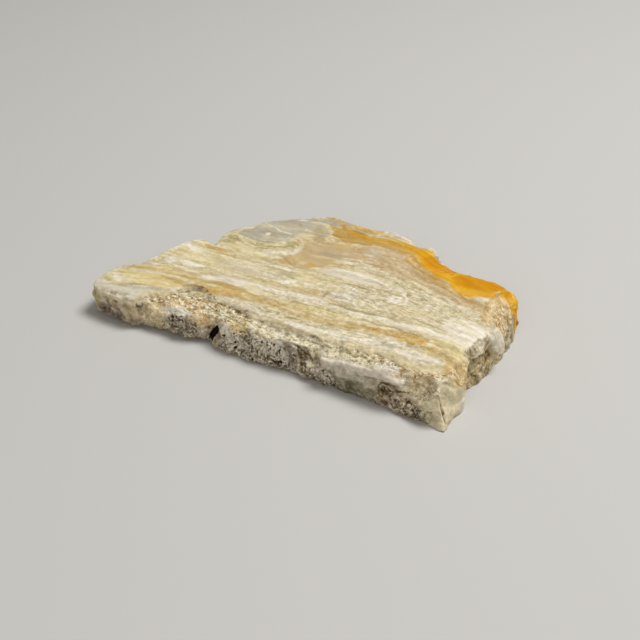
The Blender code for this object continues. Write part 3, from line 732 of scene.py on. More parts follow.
# What is laid over the crust, most of it on the broken sides
LAID_ON_CRUST = (
    (Opal.CREAM, LEDGE,
     Patch((8, -2, 8, 7.6, 62, 7.6, 62, -2), 0.6, 0.95, 0.1)),
    (Opal.PEACH, LEDGE,
     Streak((23, 4.6, 25.6, 4.1, 27.2, 3.5), 0.45, 0.8, 0.9),
     Patch((9.8, 0.2, 10.6, 2.2, 13, 4, 17.4, 4.6, 21.4, 3, 21.4, 0, 16, 0), 0.5, 1, -0.5)),
    (Opal.OLIVE, LEDGE,
     Streak((13.4, 6.6, 16, 6.4, 20, 6.6, 24, 6.2), 0.35, 0.8, -0.1),
     Streak((14, 4, 16, 3.4, 18, 3.8), 0.4, 0.7, -0.2),
     Streak((19, 4.2, 21.4, 3.8, 24, 3.4, 27.6, 2.9), 0.4, 0.8),
     Streak((28.6, 2.8, 31, 3.2, 33, 2.8, 36, 3), 0.35, 0.8, -0.2),
     Streak((36.4, 2.8, 39.4, 3.2, 41.6, 3), 0.35, 0.8),
     Streak((42, 3.6, 45, 3.8, 48.6, 3.8), 0.4, 0.9),
     Streak((42.6, 2.8, 45.6, 3, 48, 3), 0.26, 0.8, 0.2)),
    # The streaks along the back rim, at y 32 to 34, darken it: crust, and in part painted shade
    (Opal.SLATE, PLAN,
     Streak((21.2, 33.2, 23.4, 33.4, 25.6, 33), 0.7, 0.9, 0.9),
     Patch((13.2, 25.6, 16.2, 26.2, 16.4, 23.6, 13.8, 23.4), 0.7, 0.7, 0.7)),
    (Opal.TAN, PLAN,
     Streak((28.4, 33.2, 30.4, 33.4, 32.4, 33.4), 0.6, 0.8, 0.8),
     Streak((40, 32.6, 42.6, 32.2), 0.5, 0.7, 0.8)),
    (Opal.OLIVE, PLAN,
     Patch((1.8, 3.2, 4.8, 3.4, 5, 5.2, 2.2, 5), 0.6, 0.5, 0.2)),
    (Opal.BUTTER, LEDGE,
     Patch((33.4, 2.4, 37, 2.8, 36.6, 3.6, 33.6, 3.4), 0.4, 0.5)),
    (Opal.TAN, LEDGE,
     Patch((24.2, 1.9, 27.4, 1.7, 27.5, 2.6, 26, 3, 24.4, 2.8), 0.22),
     Patch((19.8, 1.8, 22, 2, 21.6, 3.2, 20.4, 3.4), 0.4, 0.8),
     Patch((15.4, 2.6, 19.6, 2.4, 21.6, 3.4, 20, 4.8, 16.6, 4.6), 0.8, 0.7, -0.5),
     Patch((15, 5.4, 21, 5.6, 20.6, 7, 15.4, 7), 0.8, 0.8, -0.4),
     Patch((51.4, 2.2, 51.8, 4.6, 57, 4.4, 57.4, 2.2), 0.5, 0.9, -0.3),
     Streak((21, 5.4, 24, 5), 0.4, 0.4)),
    (Opal.MILK, LEDGE,
     Streak((13.6, 1.6, 15.6, 1.9, 17, 1.8), 0.3),
     Streak((18.6, 3.2, 19.6, 3.1, 21.4, 2.7), 0.2, 0.9),
     Patch((31.2, 1.6, 31.4, 2.6, 33.4, 2.6, 33.6, 1.8), 0.3, 0.9, 0.5),
     Patch((27.4, 1.9, 27.6, 2.6, 29, 2.6, 29, 2), 0.25, 0.9, 0.2),
     Patch((48, 1.8, 48.2, 3.2, 50.4, 3.2, 50.2, 2), 0.35, 0.9, 0.2),
     Patch((50.8, 1.8, 51.4, 3, 52.8, 3, 52.6, 1.8), 0.3, 0.9, 0.3)),
    (Opal.EARTH, LEDGE,
     # The long lines run along the steps of the ledge: brown, and in part painted shade of each step
     Streak((13, 5, 13.6, 5.8, 14.6, 6), 0.35, 0.8, 0.1),
     Streak((16.4, 4.6, 18, 4.7, 19, 4.5), 0.16, 0.8),
     Streak((18.2, 2.8, 18.5, 2.5), 0.24, 0.9, 0.3),
     Streak((17, 4.9, 20, 5.1, 23, 4.9, 25, 4.4, 27, 3.8, 29, 3.8, 31, 4.1, 33.4, 3.9, 35, 3.7, 37, 3.8,
         39, 4.1, 42, 4.3), 0.2, 0.7, -0.5),
     Streak((22, 5.4, 24.4, 5, 26.6, 4.4), 0.08, 0.7),
     Streak((20.8, 3.9, 21.6, 4.3), 0.26, 0.7),
     Streak((50.2, 4, 50.7, 3.2, 51, 2.7), 0.3, 1, 0.4),
     Streak((57.6, 1.6, 58, 2.6), 0.24, 0.8, 0.2),
     Streak((9.4, 0.2, 9.9, 1.8, 11.4, 3, 13, 3.9, 13.6, 5.2, 14.8, 6.4), 0.16, 0.8),
     Streak((54.6, 1.8, 56.4, 1.9, 57.6, 2.2), 0.3, 0.8)),
    (Opal.CREAM, FRONT,
     Patch((10, 5.6, 20.8, 5.8, 20.6, 2.4, 18.6, 4.4, 14.4, 4.2, 13.6, 0.6, 10, 0.4), 0.5, 0.85, 0.1),
     Patch((-0.2, 5.8, 9.6, 6, 9.4, 4, 6.6, 4.2, 4, 4.3, 2, 3.6, -0.2, 3.4), 0.4, 0.9, 0.1),
     Patch((51.6, 6.6, 51.8, 3.6, 57, 3.4, 57.8, 0.4, 60.4, 0, 60.4, 6.8), 0.5, 0.9)),
    (Opal.BUTTER, FRONT,
     Patch((51.8, 6.2, 52.2, 3.8, 56.6, 3.6, 56.8, 6.2), 0.5, 0.7, 0.2)),
    (Opal.OLIVE, FRONT,
     Patch((0, 4.6, 0, 1.6, 2.2, 1.2, 2.8, 4.4), 0.6, 0.7, 0.3),
     Patch((6.6, 4.2, 6.6, 1.8, 9.2, 1.6, 9.2, 4.2), 0.9, 0.45, 0.5),
     Patch((10.4, 2.8, 12.4, 3, 12.2, 1.4, 10.4, 1.4), 0.4, 0.7, 0.5),
     Patch((21.5, 5, 24.2, 5, 23.9, 3, 22.6, 1.4, 21.6, 1.6), 0.4, 0.9, 0.2),
     Patch((28.9, 3.3, 29.6, 3.3, 29.5, 2, 29, 2), 0.2, 0.9, 0.2)),
    (Opal.PLUM, FRONT,
     Patch((1.6, 2.6, 4, 3.4, 6.4, 3.2, 7.4, 1, 6, 0, 1.2, 0), 1, 0.8, -0.2),
     Patch((7.6, 1.6, 10, 2.4, 10.2, 0.6, 7.8, 0.4), 0.7, 0.6),
     Patch((13.9, 4.4, 16.2, 5, 18.8, 3.8, 19, 1.6, 17, 0.6, 14.6, 1.4), 0.35, 1, 0.1)),
    (Opal.ASHEN, FRONT,
     Patch((23.4, 4.7, 27, 4.4, 30.2, 4.6, 34, 4.2, 35.4, 2.2, 37, 1, 37, -0.4, 22.6, -0.4, 22.8, 2),
         0.35, 1, 0.1),
     Patch((38.4, 3.2, 42.4, 3.2, 42.8, -0.4, 38.2, -0.4), 0.35),
     Patch((16.6, 2, 20.6, 2.6, 21, 0.2, 16.8, 0.2), 0.4, 0.8, 0.2)),
    (Opal.PEARL, FRONT,
     Patch((22, 5.2, 27, 5, 31, 5, 34.2, 4.2, 34.6, 2.2, 30, 1.6, 22.6, 1.8), 0.6, 0.85, 0.2),
     Patch((38.6, 2.9, 42.2, 2.9, 42.2, 1.2, 38.8, 1), 0.4, 0.6, 0.5)),
    (Opal.MOSS, FRONT,
     Patch((42.4, 2, 44, 3, 46.6, 3, 48.8, 2, 48.8, -0.4, 42.2, -0.4), 0.6, 1, -0.4)),
    (Opal.GREY, FRONT,
     Patch((38.9, 4.6, 39.4, 6, 43, 6.1, 49.6, 6.2, 52, 5.4, 49.2, 3.6, 49, 2, 46.6, 2.6, 44, 2.6,
         42.2, 2.2, 40.4, 3.4), 0.6, 1, -0.7)),
    (Opal.PLUM, FRONT,
     Patch((33.6, 5.1, 35, 4.8, 36.1, 2.6, 36.2, 1.2, 35.2, 1.4, 34.4, 3.4), 0.22, 1, 0.2)),
    (Opal.EARTH, FRONT,
     Patch((35.6, 4.8, 37.8, 4.6, 38.2, 3.2, 36, 3), 0.3, 1, 0.1),
     Patch((36.4, 2.7, 38.8, 2.6, 38.6, 1, 36.6, 1.2), 0.4, 0.8),
     Patch((51.8, 2.4, 53.4, 3.2, 55.6, 2.9, 56.8, 1.6, 56.4, 0.2, 52.2, 0.2), 0.5, 0.8, -0.2),
     Patch((49.2, 2.8, 50.4, 3.3, 51.8, 2.9, 51.6, 2, 49.6, 1.8), 0.35, 0.9),
     Patch((49.4, 1.8, 51.6, 2, 52.4, 0.6, 50.8, 0.4), 0.5, 0.6, -0.2),
     Streak((27.9, 3.1, 28.8, 3), 0.4, 1, 0.4),
     Streak((45.2, 4.3, 46.2, 4.1), 0.22, 0.55, -0.5),
     Streak((46.9, 4, 48.4, 3.7), 0.22, 0.55, -0.5),
     Streak((53.8, 2.9, 55.2, 2.4), 0.45, 0.7, 0.5),
     Streak((9.2, 4.6, 9.5, 3.4), 0.16, 0.6)),
    (Opal.GLASS, FRONT,
     Patch((26.8, 4.8, 28.1, 4.6, 28, 3.4, 27, 3.5), 0.22, 1, 0.1),
     Patch((47.6, 3.8, 48.9, 3.8, 48.8, 2.6, 47.8, 2.6), 0.3, 0.5)),
    (Opal.TAN, FRONT,
     Patch((25, 5.6, 27.8, 5.5, 27.4, 4.5, 25.8, 4.3), 0.25, 1, 0.2),
     Streak((12.4, 3.4, 13.4, 2.6, 13.6, 1.2), 0.45, 0.6)),
    (Opal.MILK, FRONT,
     Patch((13.4, 5.2, 17, 5, 16.4, 4.3, 13.8, 4.2), 0.3, 0.9),
     Streak((12.2, 3.4, 12.4, 2.4), 0.3, 0.7, 0.3),
     Streak((10.6, 1.5, 11.2, 1), 0.26, 0.8),
     Patch((23.6, 4.5, 24.8, 4.3, 24.4, 3.6, 23.7, 3.7), 0.25, 0.9, 0.1),
     Streak((30.1, 4.4, 30.6, 3.6, 30.4, 2.8), 0.2, 0.7),
     Streak((37, 2.9, 38, 2.8, 38.8, 2.7), 0.14, 0.8, 0.2),
     Streak((18.8, 1.8, 20, 2), 0.35, 0.6, 0.3),
     Streak((53, 3.7, 53.8, 3.9), 0.3, 0.6),
     Patch((58.2, 6, 60.6, 6.6, 61, 0, 59.8, 0), 0.35, 0.6, 0.3)),
    (Opal.CREAM, END,
     Patch((-1, 7, 7.2, 7, 7.2, 0, -1, 0), 0.4),
     Patch((15, 3, 19, 2.8, 19, 0, 15.4, 0), 0.5, 0.8, 0.6),
     Patch((18.4, 3.6, 25, 3.6, 25, 0, 18.8, 0), 0.6, 0.8, 0.9),
     Patch((-0.5, 5.6, 1.6, 5.6, 1.4, 0.4, -0.5, 0.4), 0.4, 0.8),
     Patch((1.6, 5.6, 4.6, 5.6, 6, 4, 6.4, 0.6, 3.4, 0.2, 1.6, 1), 0.3, 1, -1)),
    (Opal.TAN, END,
     Patch((6.4, 7.4, 9.2, 7.4, 10.4, 6, 15, 5.8, 16.6, 2.6, 14, -0.4, 6.6, -0.4), 0.5, 1, -0.5),
     Patch((4.8, 6.8, 7.6, 6.8, 7.2, 4, 5.6, 4.4), 0.4, 0.9)),
    (Opal.GLASS, END,
     Patch((11.4, 6.8, 14.8, 7, 15.2, 2.6, 11.6, 2.4), 0.5, 0.5, -0.4)),
    (Opal.MILK, END,
     Patch((4.6, 3.2, 6.6, 2.8, 6.8, 0.2, 4.4, 0.2), 0.5, 0.8, 0.3),
     Streak((12.2, 0.8, 12.6, 1.6, 13.4, 2.2), 0.3, 0.6, 0.3)),
    (Opal.EARTH, END,
     Patch((6.6, 4.2, 9.6, 4.4, 10.8, 3, 10.8, -0.4, 6.4, -0.4), 0.6, 0.65, -0.4),
     Patch((11.6, 3.4, 15.2, 3.6, 15.4, 0.2, 11.4, 0), 0.6, 0.45, -0.2),
     Streak((7.4, 2.6, 8.8, 2.2, 10.4, 2.6), 0.35, 0.8, 0.3),
     Streak((10.2, 5.4, 11, 3.6, 11.4, 1.6), 0.3, 0.7, 0.1),
     Patch((13.4, 5.6, 14.2, 5.6, 15.4, 4.4, 15.4, 3.4, 14.2, 3.6), 0.35, 0.6, -0.6),
     Streak((12.6, 2.6, 13.8, 1.6, 15, 1.4), 0.3, 0.8),
     Streak((1.4, 5, 1.6, 3, 1.2, 1.2), 0.35, 0.7),
     Streak((4.6, 3, 5.4, 1.2), 0.3, 0.6),
     Streak((13.4, 2.4, 14.6, 2.6, 15.2, 3.2), 0.2, 0.8, 0.3)),
    (Opal.CRUST, END,
     Patch((18.8, 3.4, 24.6, 3.4, 24.6, 0, 19.2, 0), 0.6, 0.7)),
    (Opal.PEACH, END,
     Patch((18.4, 6.9, 26.4, 6.9, 25.4, 4.6, 24.4, 3.6, 19.6, 3.4), 0.4, 1, -0.1)),
    (Opal.PEACH, PLAN,
     Patch((56.5, 21.6, 56.4, 23.6, 57, 26.4, 58.4, 27.5, 59.8, 26.8, 60.2, 22, 59.8, 20.6, 58.6, 17.2,
         57, 17.8), 0.35, 1, -0.1)),
    (Opal.TAN, LEDGE,
     Patch((56.8, 4.2, 56.8, 7.8, 61, 7.8, 61, 3.8, 59, 3.6), 0.5, 1, -0.2)),
    (Opal.PEARL, PLAN,
     Patch((33.2, 34.2, 34, 37, 37, 37, 40, 35, 39.4, 33.8, 36, 34.1), 0.3, 1, 0.3),
     Patch((41.6, 33.4, 42, 34.8, 44.8, 34.4, 44.6, 32.8), 0.3, 1, -0.5)),
    (Opal.GOLD, END,
     Patch((26, 7.4, 26.4, 5.2, 24.8, 4.2, 25.2, 1, 31, -0.5, 31, 7.4), 0.35, 1, 0.1)),
    (Opal.RUST, END,
     Patch((24.4, 4.2, 26, 4.2, 26.8, 2.6, 25, 2.4), 0.35, 0.8, -0.3),
     Patch((26.4, 2.2, 29, 2.4, 29, 0.6, 26.6, 0.6), 0.4, 0.6, 0.3)),
)

# What is laid on the broken sides after the painted shade low on the front wall, so that it shows pale
LAID_LAST = (
    (Opal.PEARL, LEDGE,
     Patch((42.6, 0.2, 44.4, 1.7, 48, 2.1, 51.2, 2.6, 53.4, 2.5, 53.6, 0.4, 48, -0.8, 42.6, -0.8), 0.4),
     Streak((38.6, 1.2, 42, 1, 45, 0.8), 0.4, 0.8, 0.2)),
    (Opal.PEARL, FRONT,
     Patch((39.4, 4.6, 42, 6.3, 49, 6.8, 53.6, 6.4, 53.6, 4.4, 51.4, 3.6, 49, 4, 46.4, 4.3, 42.4, 4.3),
         0.5, 0.95, 0.25),
     Streak((50.9, 0.6, 51.8, 0.6), 0.36, 1, -0.6),
     Patch((22, 4.9, 24, 5, 24.6, 3.6, 23.4, 3, 22.2, 3.6), 0.3, 0.7),
     Patch((31.4, 5.2, 33.8, 5.3, 33.6, 4.2, 31.4, 4.2), 0.25, 0.9, 0.3),
     Streak((34.8, 5.1, 35.8, 4.3, 36, 3.4), 0.16, 1, -0.5),
     Streak((1, 4.6, 4, 4.9, 8, 4.8), 0.25, 0.7, 0.2)),
    (Opal.PEACH, FRONT,
     Patch((9.6, 5.8, 21.4, 5.8, 21.6, 2.6, 19.2, 2.9, 17.4, 4.2, 13.8, 4.1, 12.6, 2.8, 10, 2.4),
         0.45, 0.85, -0.8)),
    (Opal.PEACH, LEDGE,
     Patch((9.8, -0.6, 10.8, 1.6, 12.6, 3.6, 15.4, 4.4, 21.6, 3.2, 22.4, 0, 16, -1), 0.5, 0.8, -0.8)),
    (Opal.BUTTER, LEDGE,
     Patch((23.8, 0.8, 27.8, 0.8, 27.7, 2.8, 26, 3.6, 24.2, 3), 0.3, 1, 0.1)),
    (Opal.HONEY, LEDGE,
     Patch((21.8, -0.4, 23.7, -0.4, 23.6, 2.4, 22, 2.4), 0.3, 0.8, -1)),
    (Opal.HONEY, FRONT,
     Patch((21.6, 6.4, 23.8, 6.4, 23.5, 4.3, 21.9, 4), 0.3, 0.7, -1)),
    (Opal.OCHRE, LEDGE,
     Patch((24.4, -0.6, 27.9, -0.6, 27.8, 1.7, 26.4, 2.2, 24.6, 1.9), 0.25, 1, -1)),
    (Opal.OCHRE, FRONT,
     Patch((24.4, 6.6, 27.9, 6.6, 27.6, 4.1, 25, 3.8), 0.25, 1, -1)),
    (Opal.BUTTER, FRONT,
     Patch((24.8, 6.4, 27.6, 6.4, 27.3, 4.4, 25.4, 4.2), 0.3, 0.6, -1)),
    (Opal.TAN, LEDGE,
     Streak((13, 4.4, 15.4, 5.2, 18.4, 5, 21.4, 4.6, 24.4, 4.2), 0.65, 0.6, 0.4),
     Patch((11.4, 2.2, 14.6, 2.6, 14.8, 4.2, 11.8, 3.8), 0.5, 0.5, 0.2),
     Streak((46, 3.6, 49, 3.8, 51.6, 3.8), 0.6, 0.8, 0.3)),
    (Opal.PEACH, LEDGE,
     Patch((51, -0.6, 57.4, -0.6, 57.4, 4.2, 52, 4.2), 0.5, 0.75, -0.5)),
    (Opal.PEACH, FRONT,
     Patch((7, 3.6, 12.6, 3.4, 14, 2, 13.4, 0.8, 8, 1.2), 0.8, 0.5, -0.6)),
    (Opal.CREAM, FRONT,
     Patch((37.4, 6.6, 41, 6.6, 40.4, 4.6, 38.8, 3.8, 37.8, 4), 0.4, 0.9, -0.8),
     Patch((28, 6.4, 31.6, 6.4, 31.2, 4.5, 28.4, 4.3), 0.3, 0.85, -1),
     Patch((51.6, 6.8, 57.4, 6.8, 56.8, 4, 54.4, 3.3, 52.2, 3.6), 0.4, 0.75, -0.8)),
    (Opal.TAN, FRONT,
     Patch((51.8, 6.8, 57.2, 6.8, 56.6, 4.4, 54.4, 3.7, 52.6, 4), 0.5, 0.65, -0.9)),
    (Opal.MILK, FRONT,
     Patch((12.8, 5.9, 17.6, 5.9, 17.2, 4.1, 13, 3.6), 0.35, 1, -1),
     Patch((56.8, 3.2, 60.6, 4, 60.6, -0.2, 57.4, -0.2), 0.5, 0.7, 0.3),
     Patch((22.2, 5, 24, 5, 24.2, 3.8, 22.6, 3.8), 0.3, 0.9, -0.4)),
    (Opal.CREAM, LEDGE,
     Patch((27.9, -0.6, 41.6, -0.6, 42, 3, 37, 3.6, 28, 3.2), 0.4, 0.9, -0.9)),
    (Opal.MILK, LEDGE,
     Streak((13.2, 1.2, 15.6, 1.7, 17.8, 1.6), 0.75, 1, -1),
     Streak((18.6, 3.2, 19.6, 3.1, 21.4, 2.7), 0.24, 0.9)),
    (Opal.CREAM, FRONT,
     Streak((0.4, 4.2, 4, 4.5, 8.4, 4.6), 0.5, 0.9, -0.7),
     Patch((56.4, 3.6, 60.8, 4.4, 60.8, -0.4, 57, -0.4), 0.5, 1, -0.9)),
    (Opal.CREAM, END,
     Patch((1.9, 5.8, 4.6, 5.9, 6.4, 4, 6.8, 0.4, 3.6, 0, 1.9, 0.8), 0.35, 1, -1),
     Patch((15.4, 3.4, 19, 3.2, 19.2, 0.6, 15.8, 0.6), 0.6, 0.7)),
    (Opal.MILK, END,
     # On the near corner facet the milk is painted light that makes up for the shade the facet gets
     Patch((1.9, 5.8, 4.6, 5.9, 6.4, 4, 6.4, 2.8, 4, 2.4, 2, 3.2), 0.4, 0.35, -1),
     Patch((4.2, 3.8, 6.4, 4.2, 6.8, 0.4, 4.4, 0.2), 0.5, 0.6, -0.4),
     Patch((9.8, 7.6, 15.4, 7.6, 15.2, 6.6, 10.4, 6.8), 0.5, 0.6, 0.5),
     Patch((14.8, 7.2, 18.4, 7.2, 18.8, 4, 17.6, 2.8, 15.8, 3.6), 0.7, 0.8, 0.4),
     Streak((17.6, 5.2, 18.2, 3.6), 0.5, 0.9, -0.4)),
)

# Where the stone is sugary, with small white and dark grains: a side and its marks
SUGARY = (
    (PLAN,
     Patch((34.6, 12.4, 56, 13, 58, 18.4, 50, 21, 41.8, 22, 40, 19, 36, 18), 1.6),
     Patch((24, 4.6, 60, 6.2, 60, 11, 28, 12), 1.4, 0.9),
     Patch((31, 22.6, 44, 21.6, 44, 25, 32, 26), 1.6, 0.5),
     Patch((11, 1.6, 12.4, 3.8, 13.6, 6, 14.8, 6.9, 16.6, 6.8, 18.8, 5.8, 21.4, 4.8, 20, 3, 14, 1), 0.4)),
    (FRONT,
     Patch((51.6, 6.8, 57.4, 6.8, 57, 3.8, 54.4, 3.2, 52.2, 3.6), 0.4, 0.9)),
    (END,
     Patch((18.4, 6.9, 26.4, 6.9, 25.4, 3.6, 19.6, 2.4), 0.4)),
    (LEDGE,
     Patch((8, -2, 8, 6.6, 62, 6.6, 62, -2), 0.6, 0.9)),
)

# Thin cracks and notches; their strength is their depth in millimetres
CUTS = (
    (PLAN,
     Streak((34.4, 12.3, 38, 12, 42.2, 12.1), 0.12, 0.03),
     Streak((35.8, 22.5, 39, 22.2, 42.2, 21.6), 0.14, 0.04),
     Streak((45, 10.4, 52, 10.4), 0.16, 0.04)),
    (LEDGE,
     Streak((28.4, 3.7, 31, 4.1, 33.4, 3.9, 35, 3.7, 37, 3.8, 39, 4.1, 41.4, 4.3), 0.12, 0.02),
     Streak((44, 4.4, 47, 4.5, 49, 4.5, 50.4, 3.8, 51, 2.8), 0.14, 0.08),
     Streak((57.9, 2, 58.4, 2.9, 59.6, 3.6), 0.14, 0.08),
     Streak((9.4, 0.2, 9.9, 1.8, 11.4, 3, 13, 3.9, 13.6, 5.2, 14.8, 6.4), 0.14, 0.07)),
    (FRONT,
     Streak((9.3, 4.8, 9.1, 3.6, 9.4, 2.2), 0.16, 0.06),
     Patch((21.65, 2.9, 21.15, 2.2, 20.8, 1.5, 20.7, 0.6, 20.3, -0.6, 21.1, -0.6, 21.3, 0.8, 21.8, 1.9),
         0.08, 0.85),
     Streak((14, 4, 14.7, 3.5, 15.2, 3.4), 0.22, 0.22),
     Streak((26.2, 3.9, 27.4, 3.3, 28.2, 3.6), 0.16, 0.12),
     Streak((28.2, 3.2, 28.6, 2.4, 28.6, 1.6), 0.18, 0.2),
     Streak((31.8, 1.4, 32.6, 0.9, 33.4, 1.2), 0.2, 0.22),
     Streak((37, 4.4, 37.8, 4, 38.5, 3), 0.18, 0.15),
     Streak((39.6, 2.8, 41.6, 2.9, 42.5, 1.8, 42.2, 0.6), 0.14, 0.1),
     Streak((41.6, 1.9, 41.8, 1.2), 0.2, 0.16),
     Streak((49, 2.6, 49.4, 3.4, 50.6, 3.5, 52, 3.3, 53.6, 4.2), 0.18, 0.18),
     Streak((49, 2.8, 49.3, 1.6, 50.6, 0.8), 0.18, 0.14)),
    (END,
     Streak((2, 5.8, 1.5, 4.2, 1.2, 2.4, 1.3, 0.8), 0.15, 0.12),
     Streak((4.8, 6.2, 5.2, 4.8, 5.1, 3.2), 0.12, 0.05),
     Streak((14.2, 6, 14.8, 4.8, 15.6, 3.4, 14.4, 2.6, 12.8, 2.6), 0.22, 0.1),
     Streak((16.2, 3.2, 17.4, 2.4, 18.6, 1.6), 0.2, 0.1),
     Streak((18.9, 6.2, 19.3, 4.6, 19.2, 2.4), 0.2, 0.08)),
)

# Stretches of the broken sides that came away smooth
SMOOTH_BREAKS = (
    (LEDGE,
     Patch((9, -1, 9, 7.4, 61, 7.4, 61, -1), 0.6, 0.72),
     Patch((42.6, -0.8, 44.4, 1.8, 50.4, 2.4, 53.8, 2.4, 53.8, -0.8), 0.4, 0.95),
     Patch((58, 0.4, 58.2, 4, 61, 4, 61, 0), 0.3, 0.8)),
    (FRONT,
     Patch((39.2, 5.4, 42, 6, 49.6, 6.2, 52.4, 5.4, 51.6, 3.6, 49, 3.2, 48, 0.2, 43, 0.2, 42, 2.8,
         40.2, 3.6), 0.5, 0.85),
     Patch((33.6, 4.9, 34.9, 4.8, 36, 2.6, 35.6, 1.4, 34.4, 3.4), 0.3, 0.7),
     Patch((31.4, 5.2, 33.8, 5.2, 33.6, 4.2, 31.4, 4.2), 0.3, 0.8),
     Patch((57.6, 6.4, 61, 6.8, 61, -0.4, 58, -0.4), 0.4, 0.9),
     Patch((0, 5.6, 9.4, 5.8, 9.4, 0.2, 0.2, 0.2), 0.5, 0.6),
     Patch((51.4, 6.6, 57, 6.8, 57.4, 3.4, 52, 3.6), 0.5, 0.5)),
    (END,
     Patch((-1, 6.4, 4.4, 6, 6.8, 4, 7.2, 0, -1, 0), 0.4),
     Patch((14.6, 7.4, 19, 7.4, 19, 3, 16, 2.6), 0.4, 0.8),
     Patch((19.8, 6.9, 27.6, 6.9, 28.6, 0.2, 19.8, 0.2), 0.6, 0.5)),
)

# Stretches of the broken sides that are full of pores
POROUS_BREAKS = (
    (FRONT,
     Patch((14.2, 4.3, 18.6, 4.3, 19, 0.8, 14.4, 0.8), 0.5, 0.45),
     Patch((23.4, 4.6, 31, 4.6, 34.6, 4.2, 36.6, 2.4, 38, 2.4, 38, -0.4, 22.6, -0.4), 0.5),
     Patch((38.4, 3, 42.6, 3, 42.8, -0.4, 38.4, -0.4), 0.4, 0.9),
     Patch((51, 3, 56, 3.2, 56, 0, 51, 0), 0.5, 0.5)),
)

# Stretches of the sawn top that are clear and even, without streaks and grains
CALM_TOP = (
    (PLAN,
     Patch((29.6, 18.8, 31, 21, 36, 21.6, 41.6, 20.8, 40.8, 18.9, 34, 18.6), 0.6, 0.55),
     Patch((52.6, 13, 53.6, 17.2, 61.2, 16.4, 61.2, 10.6), 0.8, 0.45),
     Patch((-1, 1, -1, 8, 8, 9.4, 16, 10.8, 24, 11.4, 26, 7.6, 19.4, 7.4, 16, 8.4, 13.4, 7.4, 12.2, 5,
         9, -1), 0.9, 0.6),
     Patch((8, 10.6, 6, 18, 14, 20, 22, 19, 22, 12), 1.5, 0.4),
     Patch((23.4, 20, 24, 26.6, 30, 28.4, 35, 26, 31, 21.6, 27.6, 18.8), 1, 0.85),
     Patch((46, 11, 46.4, 12.6, 60, 12, 60, 9.6), 0.6, 0.5),
     Patch((12, 23, 11.6, 26.4, 14.6, 30.6, 20.6, 33.6, 25, 32.4, 24.4, 28, 20.6, 25, 16, 23), 0.8, 0.8)),
)

# Where the broken sides swell out; the strength is how far, in millimetres
SWELLS = (
    (LEDGE,
     Streak((43, 0.6, 47, 0.8, 52.2, 1.2), 1, 0.45)),
    (FRONT,
     Streak((40.4, 4.5, 45, 5.1, 52.6, 5), 0.9, 0.45)),
    (END,
     Streak((16.6, 3.4, 16.8, 6.8), 1.2, 0.45)),
)

# Where the rim of the sawn top is worn off; the strength is how deep, in millimetres
WORN_EDGES = (
    (PLAN,
     Patch((59.3, 3.4, 58.8, 7, 58.6, 12, 59.6, 15, 63, 15.6, 63, 3), 0.9, 1.2),
     Patch((59.8, 18.6, 58.8, 21, 59.6, 25, 63, 25, 63, 18.6), 0.7, 0.5),
     Patch((11, 1.6, 12.4, 3.8, 13.6, 6, 14.8, 6.8, 16.6, 6.7, 18.8, 5.6, 21, 4.6, 20, 3, 14, 1),
         0.3, 0.35),
     Patch((51.2, -1, 51.6, 1.6, 54, 2.5, 57, 2.2, 58, -1), 0.8, 0.9)),
)


@dataclass(frozen=True)
class Stretch:
    """Stretches of crust of one kind, found by noise, which is shifted to draw others.

    The edge says where in the noise they start and are full.
    """

    opal: Opal
    shift: float
    size: Triple
    edge: Range
    strength: float
    deep: float


